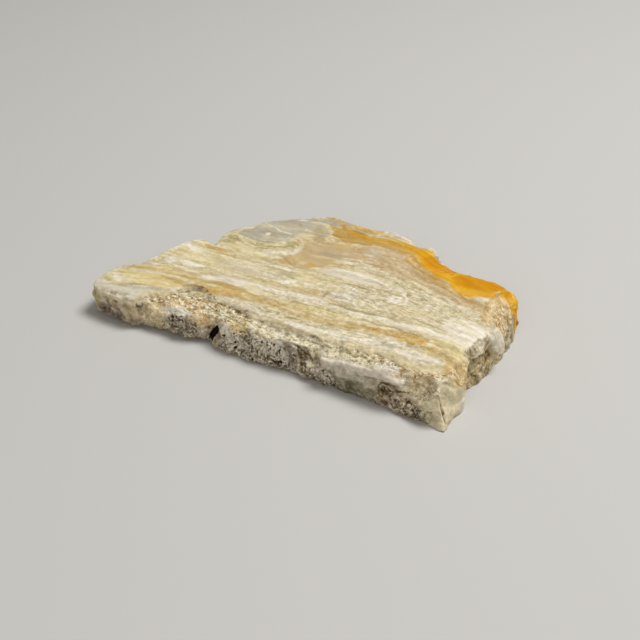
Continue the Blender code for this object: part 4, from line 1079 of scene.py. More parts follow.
@dataclass
class StoneSurface:
    """The points of the stone's skin, with what the painting and the roughening need of them.

    Sizes, places, depths and heights are in millimetres. A slope is the part of a point's
    normal that faces the way it names.
    """

    # Painted shade on the front wall, deepening towards the table
    PAINTED_SHADE: ClassVar[str] = "8C7A60"
    PAINTED_SHADE_STRENGTH: ClassVar[float] = 0.55
    PAINTED_SHADE_HEIGHT: ClassVar[Range] = (2.8, 0.0)
    # The near corner facet is well lit, so the painted shade ends before it
    PAINTED_SHADE_END: ClassVar[Range] = (59.5, 56.5)
    STRETCHES: ClassVar[tuple[Stretch, ...]] = (
        Stretch(Opal.ASHEN, 17.0, (5.0, 5.0, 3.0), (0.05, 0.5), 0.7, -0.2),
        Stretch(Opal.EARTH, 61.0, (4.0, 4.0, 2.4), (0.10, 0.6), 0.6, -0.4),
    )

    places: np.ndarray
    normals: np.ndarray
    coarse: Noise = field(default_factory=lambda: Noise(3))
    fine: Noise = field(default_factory=lambda: Noise(8))
    # How marks wander along the stone and waver across it, and the size of the bends
    wander_size: Triple = (2.6, 1.4, 1.6)
    wander_reach: float = 0.55
    waver_size: Triple = (2.2, 1.0, 1.2)
    waver_reach: float = 0.26
    # Layers lean a little, so the marks of the top shift on the way down
    lean_along: float = 0.10
    lean_across: float = 0.16
    # How much of the wander and the waver the marks of each side follow
    side_wander: float = 0.3
    ledge_waver: float = 0.5
    wall_waver: float = 0.7
    sawn_depth: Range = (0.46, 0.20)
    sawn_wear: Range = (0.40, 0.10)
    base_slope: Range = (-0.75, -0.95)
    base_height: Range = (0.5, 0.1)
    steep_slope: Range = (0.80, 0.55)
    front_depth: Range = (5.0, 3.4)
    front_slope: Range = (0.05, 0.30)
    ledge_depth: Range = (7.0, 6.0)
    right_slope: Range = (0.10, 0.35)
    right_depth: Range = (6.0, 7.5)
    end_place: Range = (55.0, 56.5)
    end_slope: Range = (0.97, 0.85)
    # Behind, the end's colours run out unevenly along the wall
    ragged_reach: float = 3.0
    ragged_depth: Range = (20.0, 25.0)
    worn_amount: Range = (0.1, 0.5)
    worn_place: Range = (56.5, 58.0)
    grit_size: float = 1.1
    streak_size: Triple = (7.0, 0.9, 2.0)
    calm_amount: Range = (0.65, 0.80)
    # How much less the colours waver where it is calm
    calm_evenness: float = 0.7
    # How strongly a tint wavers with streaks and grit, with grit alone, and with sugary grains
    streak_waver: float = 0.80
    grit_waver: float = 0.15
    grain_waver: float = 0.8
    sugar_waver: float = 0.45
    # Where a mark starts and is full, and how far its fray shifts that
    laid_amount: Range = (0.20, 0.80)
    fray_reach: float = 1.2
    full_amount: float = 1.5
    crust_strength: float = 0.9
    ledge_bareness: float = 0.5
    # Size and reach of the swells that make the top edge of the painted shade uneven
    painted_shade_size: float = 2.0
    painted_shade_reach: float = 0.5

    def __post_init__(self) -> None:
        """Works out where each point lies on every side, its share of each, and its patterns."""
        self._placed()
        self._shared_out()
        plan = self.flat[PLAN]
        self.flow = np.stack([plan[:, 0], growth_level(plan), self.places[:, 2]], axis=1)
        self.grit = self.fine.layered(self.places, self.grit_size, 4)
        self.streak = self.fine.layered(self.flow, self.streak_size, 4)
        self.sugar = self.gathered(SUGARY)
        self.uneven = 1.0 - self.calm_evenness * ease(*self.calm_amount, self.gathered(CALM_TOP))

    def _placed(self) -> None:
        """Works out the two numbers of each point on every side, bent as the layers are."""
        x, y, z = self.places.T
        self.below = saw_plane(x) - z
        self.wander = self.coarse.layered(self.places, self.wander_size, 3) * self.wander_reach
        waver = self.coarse.layered(self.places + 40.0, self.waver_size, 3) * self.waver_reach
        leaning_x = x + self.lean_along * self.below + self.wander
        leaning_y = y + self.lean_across * self.below + waver
        aside = self.side_wander * self.wander
        up = z + self.wall_waver * waver
        self.flat = {
            PLAN: np.stack([leaning_x, leaning_y], axis=1),
            LEDGE: np.stack([x + aside, y + self.ledge_waver * waver], axis=1),
            FRONT: np.stack([x + aside, up], axis=1),
            END: np.stack([y + aside, up], axis=1),
        }

    def _shared_out(self) -> None:
        """Works out how much each point belongs to the saw cut, the base and every side."""
        x, y, z = self.places.T
        right, forward, upward = self.normals[:, 0], -self.normals[:, 1], self.normals[:, 2]
        self.share = {PLAN: np.ones(len(x))}
        self.worn = self.gathered(WORN_EDGES)
        self.sawn = ease(*self.sawn_depth, self.below) * ease(*self.sawn_wear, self.worn)
        self.base = ease(*self.base_slope, upward) * ease(*self.base_height, z)
        self.broken = (1.0 - self.sawn) * (1.0 - self.base)
        steep = ease(*self.steep_slope, upward)
        front = ease(*self.front_depth, y) * ease(*self.front_slope, forward) * steep
        facing_right = np.maximum(ease(*self.right_slope, right), ease(*self.right_depth, y))
        ragged = self.ragged_reach * self.wander * ease(*self.ragged_depth, y)
        end = ease(*self.end_place, x + ragged) * facing_right * ease(*self.end_slope, upward)
        worn_end = ease(*self.worn_amount, self.worn) * ease(*self.worn_place, x)
        self.share[LEDGE] = self.broken * (1.0 - steep) * ease(*self.ledge_depth, y)
        self.share[FRONT] = front * (1.0 - self.sawn)
        self.share[END] = np.maximum(end, worn_end) * (1.0 - self.sawn)

    def gathered(self, groups: Sequence[tuple]) -> np.ndarray:
        """Finds the strongest of some marks at each point.

        Args:
            groups: a side and its marks in each.

        Returns:
            The strength at each point.
        """
        total = np.zeros(len(self.places))
        for face, *marks in groups:
            for mark in marks:
                total = np.maximum(total, mark.amount(self.flat[face]) * self.share[face])
        return total

    def drawn_in(self, *opals: Opal) -> np.ndarray:
        """Finds how much of some kinds of opal is laid on the top.

        Args:
            opals: the kinds.

        Returns:
            The most of any of them at each point.
        """
        laid = LAID_FIRST + LAID_ON_CRUST
        return self.gathered([group[1:] for group in laid if group[0] in opals and group[1] is PLAN])

    def painted(self) -> np.ndarray:
        """Returns the colour of each point: cream opal, then the crust and every mark in turn, with painted
        shade low on the front wall.
        """
        colour = self._tinted(Opal.CREAM.value, 0.0)
        colour = self._crusted(self._marked(colour, LAID_FIRST))
        colour = self._shade_painted_low(self._marked(colour, LAID_ON_CRUST))
        return self._marked(colour, LAID_LAST)

    def _marked(self, colour: np.ndarray, groups: Sequence[tuple]) -> np.ndarray:
        """Lays marks over the colour so far, one after the other.

        Args:
            colour: the colour of each point.
            groups: a kind of opal, a side and its marks in each.

        Returns:
            The new colour.
        """
        for opal, face, *marks in groups:
            for mark in marks:
                amount = mark.amount(self.flat[face]) * self.share[face]
                colour = self._laid_on(colour, opal.value, amount, mark.deep)
        return colour

    def _tinted(self, tint: Tint, deep: float) -> np.ndarray:
        """Works out a tint's colour, wavering along the layers or between grains.

        Args:
            tint: the tint.
            deep: from -1 for its pale end to 1 for its deep one.

        Returns:
            The colour of each point.
        """
        if tint.streaky:
            waver = self.streak_waver * self.streak + self.grit_waver * self.grit
        else:
            waver = self.grain_waver * self.grit
        waver = (waver + self.sugar_waver * self.sugar * self.grit) * self.uneven
        tone = np.clip(0.5 + 0.5 * deep + waver, 0.0, 1.0)[:, None]
        pale, dark = np.array(linear(tint.pale)), np.array(linear(tint.deep))
        return pale + (dark - pale) * tone

    def _laid_on(
        self, colour: np.ndarray, tint: Tint, amount: np.ndarray, deep: float
    ) -> np.ndarray:
        """Lays one tint over the colour so far, with frayed edges.

        Args:
            colour: the colour of each point.
            tint: what is laid on.
            amount: how much of it each point gets.
            deep: from -1 for its pale end to 1 for its deep one.

        Returns:
            The new colour.
        """
        fray = self.streak + 0.5 * self.grit if tint.streaky else self.grit
        frayed = amount * (1.0 + self.fray_reach * tint.fray * fray)
        share = ease(*self.laid_amount, frayed)[:, None]
        # Weak marks stay weak in their middle too.
        share = share * np.minimum(1.0, amount * self.full_amount)[:, None]
        return colour + (self._tinted(tint, deep) - colour) * share

    def _shade_painted_low(self, colour: np.ndarray) -> np.ndarray:
        """Paints shade on the front wall, darker and darker towards the table.

        Args:
            colour: the colour of each point.

        Returns:
            The new colour.
        """
        swell = self.coarse.layered(self.places, self.painted_shade_size, 2)
        uneven = self.places[:, 2] + self.painted_shade_reach * swell
        share = self.PAINTED_SHADE_STRENGTH * ease(*self.PAINTED_SHADE_HEIGHT, uneven) * self.share[FRONT]
        share = (share * ease(*self.PAINTED_SHADE_END, self.places[:, 0]))[:, None]
        return colour * (1.0 - share * (1.0 - np.array(linear(self.PAINTED_SHADE))))

    def _crusted(self, colour: np.ndarray) -> np.ndarray:
        """Lays the weathered crust over the broken sides, with ashen and earthy stretches.

        Args:
            colour: the colour of each point.

        Returns:
            The new colour.
        """
        broken = self.broken * (1.0 - self.ledge_bareness * self.share[LEDGE])
        colour = self._laid_on(colour, Opal.CRUST.value, self.crust_strength * broken, 0.0)
        for stretch in self.STRETCHES:
            swell = self.coarse.layered(self.places + stretch.shift, stretch.size, 3)
            amount = stretch.strength * broken * ease(*stretch.edge, swell)
            colour = self._laid_on(colour, stretch.opal.value, amount, stretch.deep)
        return colour


def growth_level(plan: np.ndarray) -> np.ndarray:
    """Works out the growth level from the layer lines on either side of a place.

    Args:
        plan: x and y of each point.

    Returns:
        The level of each point.
    """
    x, y = plan.T
    heights = [np.interp(x, *np.array(line).T) for _, line in LAYER_LINES]
    levels = [level for level, _ in LAYER_LINES]
    found = levels[0] + (y - heights[0])
    for low, high, low_level, high_level in zip(heights, heights[1:], levels, levels[1:]):
        share = (y - low) / np.maximum(high - low, 0.3)
        between = low_level + np.minimum(share, 1.0) * (high_level - low_level)
        found = np.where(share > 0.0, between, found)
    return found


@dataclass
class Relief:
    """How far the broken sides and the saw cut stand in and out, in millimetres."""

    lump_size: float = 2.1
    lump_height: float = 0.26
    # Angular blocks, with faces that bend, rims that slope and crevices between them
    block_size: float = 2.0
    block_height: float = 0.55
    block_bend: float = 0.9
    bend_size: float = 1.8
    block_rim: float = 0.35
    block_level: float = 0.22
    crevice: Range = (0.12, 0.0)
    grit_size: float = 0.70
    grit_height: float = 0.12
    # The spacing of grains at which the grit neither rises nor sinks
    grit_level: float = 0.35
    # What is left of the wall's relief where the break is smooth
    smooth_relief: float = 0.25
    # Pores: how far apart, how deep, the least width and what is added to it in spacings, and
    # the share of the places that has one, on any break and on a porous one
    pore_spacing: float = 0.62
    pore_depth: float = 0.30
    pore_width: float = 0.24
    pore_more_width: float = 0.32
    pore_share: float = 0.04
    pore_more_share: float = 0.62
    pore_edge: Range = (1.0, 0.45)
    warp_size: float = 0.9
    warp_reach: Triple = (0.30, -0.25, 0.30)
    # Low ridges along the growth layers, which are steps on the ledge
    ridge_size: Triple = (6.0, 0.60, 0.8)
    ridge_height: float = 0.05
    step_height: float = 0.14
    grain_size: float = 0.9
    grain_height: float = 0.03
    sugar_height: float = 0.05
    saw_pitch: float = 0.45
    saw_depth: float = 0.012
    saw_heading: float = math.radians(-40.0)
    # Clear opal takes the saw's marks in full and has few grains and ridges
    clear_evenness: float = 0.8
    dull_saw_marks: float = 0.3
    # How much dirt and painted shade pores and crevices hold, and the depth of a cut that is full of soil
    # and painted shade
    pore_dirt_and_shade: float = 0.35
    porous_dirt_and_shade: float = 0.6
    crevice_dirt_and_shade: float = 0.4
    soil_and_shade_depth: float = 0.34

    def rise(self, surface: StoneSurface) -> tuple[np.ndarray, np.ndarray]:
        """Works out the relief of the whole skin.

        Args:
            surface: the skin's points.

        Returns:
            How far each point moves out along its normal, and how much dirt and painted shade lies in it,
            from 0 to 1.
        """
        rough = 1.0 - surface.gathered(SMOOTH_BREAKS)
        porous = surface.gathered(POROUS_BREAKS)
        cuts = surface.gathered(CUTS)
        swells = surface.gathered(SWELLS)
        ridges = surface.fine.layered(surface.flow, self.ridge_size, 3)
        lumps = surface.fine.layered(surface.places, self.lump_size, 4) * self.lump_height
        blocks, crevices = self._blocks(surface)
        near, far, _ = surface.fine.cells(surface.places, self.grit_size)
        grit = (far - near - self.grit_level) * self.grit_height
        pores = self._pores(surface, porous)
        wall = lumps + blocks + grit - self.pore_depth * pores
        wall = (self.smooth_relief + (1.0 - self.smooth_relief) * rough) * wall
        wall = wall + self.step_height * ridges * surface.share[LEDGE]
        in_pores = pores * (self.pore_dirt_and_shade + self.porous_dirt_and_shade * porous)
        dirt = np.maximum(in_pores, self.crevice_dirt_and_shade * crevices)
        dirt = surface.broken * rough * dirt
        # Cuts are painted darker the deeper they are, for soil and painted shade
        dirt = np.maximum(dirt, np.clip(cuts / self.soil_and_shade_depth, 0.0, 1.0))
        top = self._saw_cut(surface, ridges)
        return surface.broken * (wall + swells) + surface.sawn * top - cuts, dirt

    def _blocks(self, surface: StoneSurface) -> tuple[np.ndarray, np.ndarray]:
        """Works out the angular blocks of a break.

        Args:
            surface: the skin's points.

        Returns:
            Their height at each point, and where the crevices between them are, from 0 to 1.
        """
        places = surface.places
        bent = [surface.coarse.layered(places + 31.0 * k, self.bend_size, 3) for k in range(3)]
        moved = places + self.block_bend * np.stack(bent, axis=1)
        near, far, _ = surface.coarse.cells(moved, self.block_size)
        blocks = (np.minimum(far - near, self.block_rim) - self.block_level) * self.block_height
        return blocks, ease(*self.crevice, far - near) * ease(0.0, 0.5, surface.grit)

    def _pores(self, surface: StoneSurface, porous: np.ndarray) -> np.ndarray:
        """Works out the pores, which are many where the break is porous.

        Args:
            surface: the skin's points.
            porous: how porous the break is at each point.

        Returns:
            Where the pores are, from 0 to 1.
        """
        warp = surface.coarse.layered(surface.places, self.warp_size, 2)[:, None]
        moved = surface.places + warp * np.array(self.warp_reach)
        pits, _, lots = surface.coarse.cells(moved, self.pore_spacing)
        # The same draw, taken sevenfold, picks the width, so widths and places don't go together.
        widths = self.pore_width + self.pore_more_width * ((lots * 7.0) % 1.0)
        chosen = lots < self.pore_share + self.pore_more_share * porous
        return ease(*self.pore_edge, pits / widths) * chosen

    def _saw_cut(self, surface: StoneSurface, ridges: np.ndarray) -> np.ndarray:
        """Works out the sawn top: ridges and grains, and saw marks where the opal is clear.

        Args:
            surface: the skin's points.
            ridges: noise that runs with the growth layers.

        Returns:
            The height of each point above the cut.
        """
        x, y = surface.places[:, 0], surface.places[:, 1]
        grains = surface.fine.layered(surface.places, self.grain_size, 2)
        grains = grains * (self.grain_height + self.sugar_height * surface.sugar)
        across = x * math.cos(self.saw_heading) + y * math.sin(self.saw_heading)
        saw_marks = np.sin(across * math.tau / self.saw_pitch) * self.saw_depth
        clear = surface.drawn_in(Opal.HONEY, Opal.GOLD)
        low = (self.ridge_height * ridges + grains) * (1.0 - self.clear_evenness * clear)
        return low + saw_marks * (self.dull_saw_marks + (1.0 - self.dull_saw_marks) * clear)


@dataclass
class OpalStone:
    """The slice itself, as one closed stone that replaces the CAD solid."""

    skin_pitch: float = 0.188
    weld_distance: float = 0.001
    crease_angle: float = math.radians(38.0)
    crease: float = 0.8
    rounding_levels: int = 2
    # The underside is flat, so nearly all of its points can go
    underside_height: float = 0.12
    underside_slope: float = -0.9
    underside_share: float = 0.985
    # A worn rim is lower at the top than at the foot
    worn_height: Range = (1.0, 5.0)
    # How strongly edges get a painted highlight and hollows a painted shade, from their curve and from the
    # relief itself
    edge_shading: float = 1.8
    relief_shading: float = 0.8

    def build(self) -> bpy.types.Object:
        """Makes the stone, roughens it, gives it its amounts of opal and its finish.

        Returns:
            The stone's object, in place and riding on the root body.
        """
        mesh = self._drawn_again()
        places = read_vectors(mesh, "co") - self._corner()
        surface = StoneSurface(places, read_vectors(mesh, "normal"))
        rise, dirt = Relief().rise(surface)
        roughened = surface.places + surface.normals * rise[:, None]
        roughened[:, 2] -= surface.worn * ease(*self.worn_height, surface.places[:, 2])
        roughened[:, 2] = np.maximum(roughened[:, 2], 0.0)
        in_row = (roughened + self._corner()) * MM
        mesh.vertices.foreach_set("co", in_row.astype(np.float32).ravel())
        mesh.shade_smooth()
        mesh.update()
        # How much painted highlight (above zero) or painted shade (below zero) each point gets, from its
        # curve and its relief
        stands_out = self.edge_shading * bulge(mesh) + self.relief_shading * surface.broken * rise
        self._carry(mesh, surface, stands_out, dirt)
        mesh.materials.append(BandedOpal().material())
        stone = bpy.data.objects.new("opal_slice", mesh)
        bpy.context.scene.collection.objects.link(stone)
        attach(stone, "root")
        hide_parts(STONE_NODE)
        return stone

    def _drawn_again(self) -> Mesh:
        """Draws the CAD solid again, in millimetres, with points an even pitch apart.

        Returns:
            The mesh, with rounded edges and a coarse underside.
        """
        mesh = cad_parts[STONE_NODE].data.copy()
        mesh.materials.clear()
        solid = bmesh.new()
        solid.from_mesh(mesh)
        bmesh.ops.scale(solid, vec=(1 / MM,) * 3, verts=solid.verts)
        bmesh.ops.remove_doubles(solid, verts=solid.verts, dist=self.weld_distance)
        creases = solid.edges.layers.float.new("crease_edge")
        for edge in solid.edges:
            if len(edge.link_faces) == 2 and edge.calc_face_angle() > self.crease_angle:
                edge[creases] = self.crease
        solid.to_mesh(mesh)
        solid.free()
        draft = bpy.data.objects.new("draft_stone", mesh)
        bpy.context.scene.collection.objects.link(draft)
        draft.modifiers.new("rounding", "SUBSURF").levels = self.rounding_levels
        skin = draft.modifiers.new("skin", "REMESH")
        skin.mode = "VOXEL"
        skin.voxel_size = self.skin_pitch
        self._apply(draft)
        self._thin_underside(draft)
        result = draft.data
        bpy.data.objects.remove(draft)
        result.name = "opal_slice"
        return result

    def _thin_underside(self, draft: bpy.types.Object) -> None:
        """Takes all but a few of the underside's points out of a mesh, and no others.

        Args:
            draft: the object that has the mesh.
        """
        heights = read_vectors(draft.data, "co")[:, 2]
        slopes = read_vectors(draft.data, "normal")[:, 2]
        low = (heights < self.underside_height) & (slopes < self.underside_slope)
        chosen = np.nonzero(low)[0]
        underside = draft.vertex_groups.new(name="underside")
        underside.add(chosen.tolist(), 1.0, "ADD")
        thinner = draft.modifiers.new("thinner", "DECIMATE")
        thinner.ratio = 1.0 - self.underside_share * len(chosen) / len(heights)
        thinner.vertex_group = underside.name
        self._apply(draft)

    @staticmethod
    def _apply(target: bpy.types.Object) -> None:
        """Applies an object's modifiers to its mesh.

        Args:
            target: the object.
        """
        graph = bpy.context.evaluated_depsgraph_get()
        result = bpy.data.meshes.new_from_object(target.evaluated_get(graph))
        target.modifiers.clear()
        target.vertex_groups.clear()
        target.data = result

    @staticmethod
    def _corner() -> np.ndarray:
        """Returns the front left corner in the row's frame, in millimetres."""
        low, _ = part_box(STONE_NODE)
        return np.array([low.x / MM + CORNER_OFFSET[0], low.y / MM + CORNER_OFFSET[1], 0.0])

    @staticmethod
    def _carry(
        mesh: Mesh, surface: StoneSurface, stands_out: np.ndarray, dirt: np.ndarray
    ) -> None:
        """Writes the colour, the painted highlight on edges and painted shade in hollows, and the growth
        layers on the mesh's points.

        Args:
            mesh: the roughened mesh.
            surface: its points.
            stands_out: how far each point stands out from what is round it, which sets its painted
                highlight or shade.
            dirt: how much dirt and painted shade lies in it.
        """
        broken, ledge = surface.broken, surface.share[LEDGE]
        clear = 0.85 * surface.drawn_in(Opal.HONEY, Opal.GLASS)
        even = surface.drawn_in(Opal.BLUSH, Opal.GREY, Opal.BUTTER, Opal.TAN, Opal.OCHRE)
        calm = np.maximum(surface.drawn_in(Opal.GOLD), clear)
        calm = np.maximum(calm, 0.5 * even)
        calm = np.maximum(calm, surface.gathered(CALM_TOP) * surface.sawn)
        rough = 1.0 - surface.gathered(SMOOTH_BREAKS)
        grain = 0.16 + 0.55 * surface.sugar + 0.60 * ledge
        grain = grain + broken * (0.45 * rough + 0.90 * surface.gathered(POROUS_BREAKS))
        # About 0.5 is left as it is; above it edges get painted highlight, below it hollows get painted
        # shade
        high = 0.5 + stands_out * (1.0 - surface.base) * (1.0 - 0.4 * ledge)
        amounts = {
            "crust": broken * (0.25 + 0.75 * rough),
            "dirt": dirt,
            "lively": 1.0 - calm,
            "high": np.clip(high, 0.0, 1.0),
            "grain": np.clip(grain, 0.0, 1.6) * (1.0 - 0.9 * calm),
        }
        for name, amount in amounts.items():
            layer = mesh.attributes.new(name, "FLOAT", "POINT")
            layer.data.foreach_set("value", amount.astype(np.float32))
        layer = mesh.attributes.new("layers", "FLOAT_VECTOR", "POINT")
        layer.data.foreach_set("vector", surface.flow.astype(np.float32).ravel())
        layer = mesh.attributes.new("opal", "FLOAT_COLOR", "POINT")
        layer.data.foreach_set("color", surface.painted().astype(np.float32).ravel())


def bulge(mesh: Mesh) -> np.ndarray:
    """Works out how far each point stands out from its neighbours.

    Args:
        mesh: the mesh.

    Returns:
        The way in edge lengths, above zero on edges and below zero in hollows.
    """
    places, normals = read_vectors(mesh, "co"), read_vectors(mesh, "normal")
    ends = np.empty(len(mesh.edges) * 2, np.int64)
    mesh.edges.foreach_get("vertices", ends)
    ends = ends.reshape(-1, 2)
    count = len(places)
    here = np.concatenate([ends[:, 0], ends[:, 1]])
    there = np.concatenate([ends[:, 1], ends[:, 0]])
    neighbours = np.maximum(np.bincount(here, minlength=count), 1)

    def mean(values: np.ndarray) -> np.ndarray:
        """Returns the mean of a value over each point's neighbours."""
        return np.bincount(here, weights=values[there], minlength=count) / neighbours

    apart = np.stack([places[:, k] - mean(places[:, k]) for k in range(3)], axis=1)
    length = np.linalg.norm(places[ends[:, 0]] - places[ends[:, 1]], axis=1).mean()
    height = (apart * normals).sum(axis=1) / length
    return 0.5 * height + 0.5 * mean(height)


def read_vectors(mesh: Mesh, what: str) -> np.ndarray:
    """Reads a vector of each of a mesh's points.

    Args:
        mesh: the mesh.
        what: the vector's name, such as "co" for the place or "normal".

    Returns:
        One vector a row.
    """
    values = np.empty(len(mesh.vertices) * 3, np.float32)
    mesh.vertices.foreach_get(what, values)
    return values.reshape(-1, 3).astype(float)


@dataclass(frozen=True)
class Ramp:
    """How an amount that goes from low to high becomes one from least to most, and no further."""

    low: float = 0.0
    high: float = 1.0
    least: float = 0.0
    most: float = 1.0

    def over(self, value: NodeSocket) -> dict[str, NodeSocket | float]:
        """Returns the inputs of a Map Range node that does it to a value."""
        wanted = {"From Min": self.low, "From Max": self.high, "To Min": self.least}
        return {"Value": value, "To Max": self.most} | wanted


@dataclass(frozen=True)
class BandedOpal:
    """Common opal, a milky hydrated silica, sawn on top with a weathered crust where broken.

    It is translucent for about a millimetre, so its edges are soft. The fresh saw cut is satin,
    and the crust is matt and granular. The colour comes from the mesh's points; the finish adds
    what is finer than they are.
    """

    AMOUNTS: ClassVar[tuple[str, ...]] = ("crust", "dirt", "lively", "high", "grain")

    vein: str = "F6EED8"
    line: str = "8A744A"
    mud: str = "6B5638"
    # Near-black at the bottom of deep pores and cracks: soil and painted shade
    soil_and_shade: str = "1A130C"
    # Pale grains, and the painted highlight on edges
    speck_and_highlight_pale: str = "FBF2DC"
    # Satin where it was sawn, matt on the crust
    roughness: Ramp = Ramp(least=0.44, most=0.88)
    ior: float = 1.45
    gloss: float = 0.25
    # Opal scatters light under its skin: how much, how far each colour goes, and half a millimetre
    milkiness: float = 0.20
    scatter: Triple = (1.0, 0.7, 0.4)
    scatter_depth: float = 0.0005
    # Streaks a few millimetres long and a quarter of a millimetre wide, and flecks as wide as long
    streak_pitch: Triple = (0.30, 2.2, 0.8)
    fleck_pitch: float = 1.6
    # Where streaks and flecks meet, milk comes up; the rest swings between darker and lighter
    milky: Ramp = Ramp(1.02, 1.28, most=0.36)
    swing: Ramp = Ramp(0.78, 1.22, -0.30, 0.16)
    # Hair-thin lines run where the noise passes a level, within a small way of it
    line_pitch: Triple = (0.16, 1.1, 0.8)
    line_level: float = 0.42
    line_share: Ramp = Ramp(high=0.012, least=0.45, most=0.0)
    # Sugary grains; real ones are 0.1 to 0.2 mm, too fine to show, so these are twice as wide
    grain_pitch: float = 2.7
    # On the saw cut the grains are drawn out along the layers
    dash_pitch: Triple = (1.1, 3.4, 2.0)
    dark_grain: Ramp = Ramp(0.36, 0.47, -0.52, 0.0)
    pale_grain: Ramp = Ramp(0.52, 0.63, most=0.90)
    # Painted shade: hollows get a deeper shade of their own colour; painted highlight: edges get a paler
    # one
    hollow_painted_shade: Ramp = Ramp(0.40, 0.05, most=0.60)
    painted_shade_gamma: float = 2.2
    edge: Ramp = Ramp(0.60, 0.95, most=0.25)
    muddy: Ramp = Ramp(0.10, 0.5, most=0.95)
    soiled_and_shaded: Ramp = Ramp(0.40, 0.85, most=0.95)
    bump: Ramp = Ramp(least=0.10, most=0.9)
    bump_height: float = 0.22 * MM

    def material(self) -> bpy.types.Material:
        """Returns the finish as a material."""
        material = bpy.data.materials.new("banded_opal_stone")
        material.use_nodes = True
        tree = material.node_tree
        shader = tree.nodes["Principled BSDF"]
        given = self._given(tree)
        colour = add_node(tree, "Attribute", attribute_name="opal").outputs["Color"]
        for layer in (self._veined, self._lined, self._granular, self._painted_shade_and_highlight, self._dirtied_and_shaded):
            colour = layer(tree, colour, given)
        roughness = add_node(tree, "MapRange", self.roughness.over(given["crust"])).outputs[0]
        tree.links.new(colour, shader.inputs["Base Color"])
        tree.links.new(roughness, shader.inputs["Roughness"])
        tree.links.new(self._fine_relief(tree, given), shader.inputs["Normal"])
        shader.inputs["IOR"].default_value = self.ior
        shader.inputs["Specular IOR Level"].default_value = self.gloss
        shader.inputs["Subsurface Weight"].default_value = self.milkiness
        shader.inputs["Subsurface Radius"].default_value = self.scatter
        shader.inputs["Subsurface Scale"].default_value = self.scatter_depth
        return material

    def _given(self, tree: NodeTree) -> Given:
        """Reads what the finish needs of the mesh's points.

        Args:
            tree: the material's node tree.

        Returns:
            A socket by name: each amount from 0 to 1, layers for places in which the growth
            layers lie flat, and spot for places in millimetres.
        """
        given = {}
        for name in self.AMOUNTS:
            given[name] = add_node(tree, "Attribute", attribute_name=name).outputs["Fac"]
        given["layers"] = add_node(tree, "Attribute", attribute_name="layers").outputs["Vector"]
        spot = {0: add_node(tree, "TexCoord").outputs["Object"], "Scale": 1 / MM}
        given["spot"] = add_node(tree, "VectorMath", spot, operation="SCALE").outputs[0]
        return given

    def _veined(self, tree: NodeTree, colour: NodeSocket, given: Given) -> NodeSocket:
        """Adds thin streaks and flecks that are milkier or more deeply coloured.

        Args:
            tree: the material's node tree.
            colour: the colour so far.
            given: what the mesh's points give the finish.

        Returns:
            The new colour.
        """
        pitch = {0: given["layers"], 1: self.streak_pitch}
        along = add_node(tree, "VectorMath", pitch, operation="MULTIPLY").outputs[0]
        look = {"Vector": along, "Scale": 1.0, "Detail": 6.0, "Roughness": 0.62}
        streaks = add_node(tree, "TexNoise", look).outputs["Fac"]
        look = {"Vector": given["spot"], "Scale": self.fleck_pitch, "Detail": 5.0, "Roughness": 0.62}
        flecks = add_node(tree, "TexNoise", look).outputs["Fac"]
        both = add_node(tree, "Math", {0: streaks, 1: flecks}, operation="ADD").outputs[0]
        colour = self._laid(tree, colour, linear(self.vein), self.milky, both, given["lively"])
        return self._brightened(tree, colour, self.swing, both, given["lively"])

    @staticmethod
    def _laid(
        tree: NodeTree, colour: NodeSocket, over: NodeSocket | Colour, ramp: Ramp,
        value: NodeSocket, share: NodeSocket | None = None,
    ) -> NodeSocket:
        """Lays another colour over the colour so far.

        Args:
            tree: the material's node tree.
            colour: the colour so far.
            over: the other colour.
            ramp: how much of it a value brings.
            value: the value.
            share: how much of that counts, which is all of it without one.

        Returns:
            The new colour.
        """
        amount = add_node(tree, "MapRange", ramp.over(value)).outputs[0]
        if share:
            factors = {0: amount, 1: share}
            amount = add_node(tree, "Math", factors, operation="MULTIPLY").outputs[0]
        mix = {SHARE: amount, UNDER: colour, OVER: over}
        return add_node(tree, "Mix", mix, data_type="RGBA").outputs[MIXED]

    @staticmethod
    def _brightened(
        tree: NodeTree, colour: NodeSocket, ramp: Ramp, value: NodeSocket, share: NodeSocket
    ) -> NodeSocket:
        """Makes the colour so far brighter, or darker where its ramp goes below zero.

        Args:
            tree: the material's node tree.
            colour: the colour so far.
            ramp: the part of its light that a value adds.
            value: the value.
            share: how much of that counts.

        Returns:
            The new colour.
        """
        swing = add_node(tree, "MapRange", ramp.over(value)).outputs[0]
        factors = {0: swing, 1: share, 2: 1.0}
        light = add_node(tree, "Math", factors, operation="MULTIPLY_ADD").outputs[0]
        factors = {0: colour, "Scale": light}
        return add_node(tree, "VectorMath", factors, operation="SCALE").outputs[0]

    def _lined(self, tree: NodeTree, colour: NodeSocket, given: Given) -> NodeSocket:
        """Adds hair-thin brown lines that run with the layers.

        Args:
            tree: the material's node tree.
            colour: the colour so far.
            given: what the mesh's points give the finish.

        Returns:
            The new colour.
        """
        pitch = {0: given["layers"], 1: self.line_pitch}
        along = add_node(tree, "VectorMath", pitch, operation="MULTIPLY").outputs[0]
        look = {"Vector": along, "Scale": 1.0, "Detail": 4.0, "Roughness": 0.6}
        swell = add_node(tree, "TexNoise", look).outputs["Fac"]
        terms = {0: swell, 1: self.line_level}
        away = add_node(tree, "Math", terms, operation="SUBTRACT").outputs[0]
        away = add_node(tree, "Math", {0: away}, operation="ABSOLUTE").outputs[0]
        return self._laid(tree, colour, linear(self.line), self.line_share, away, given["lively"])

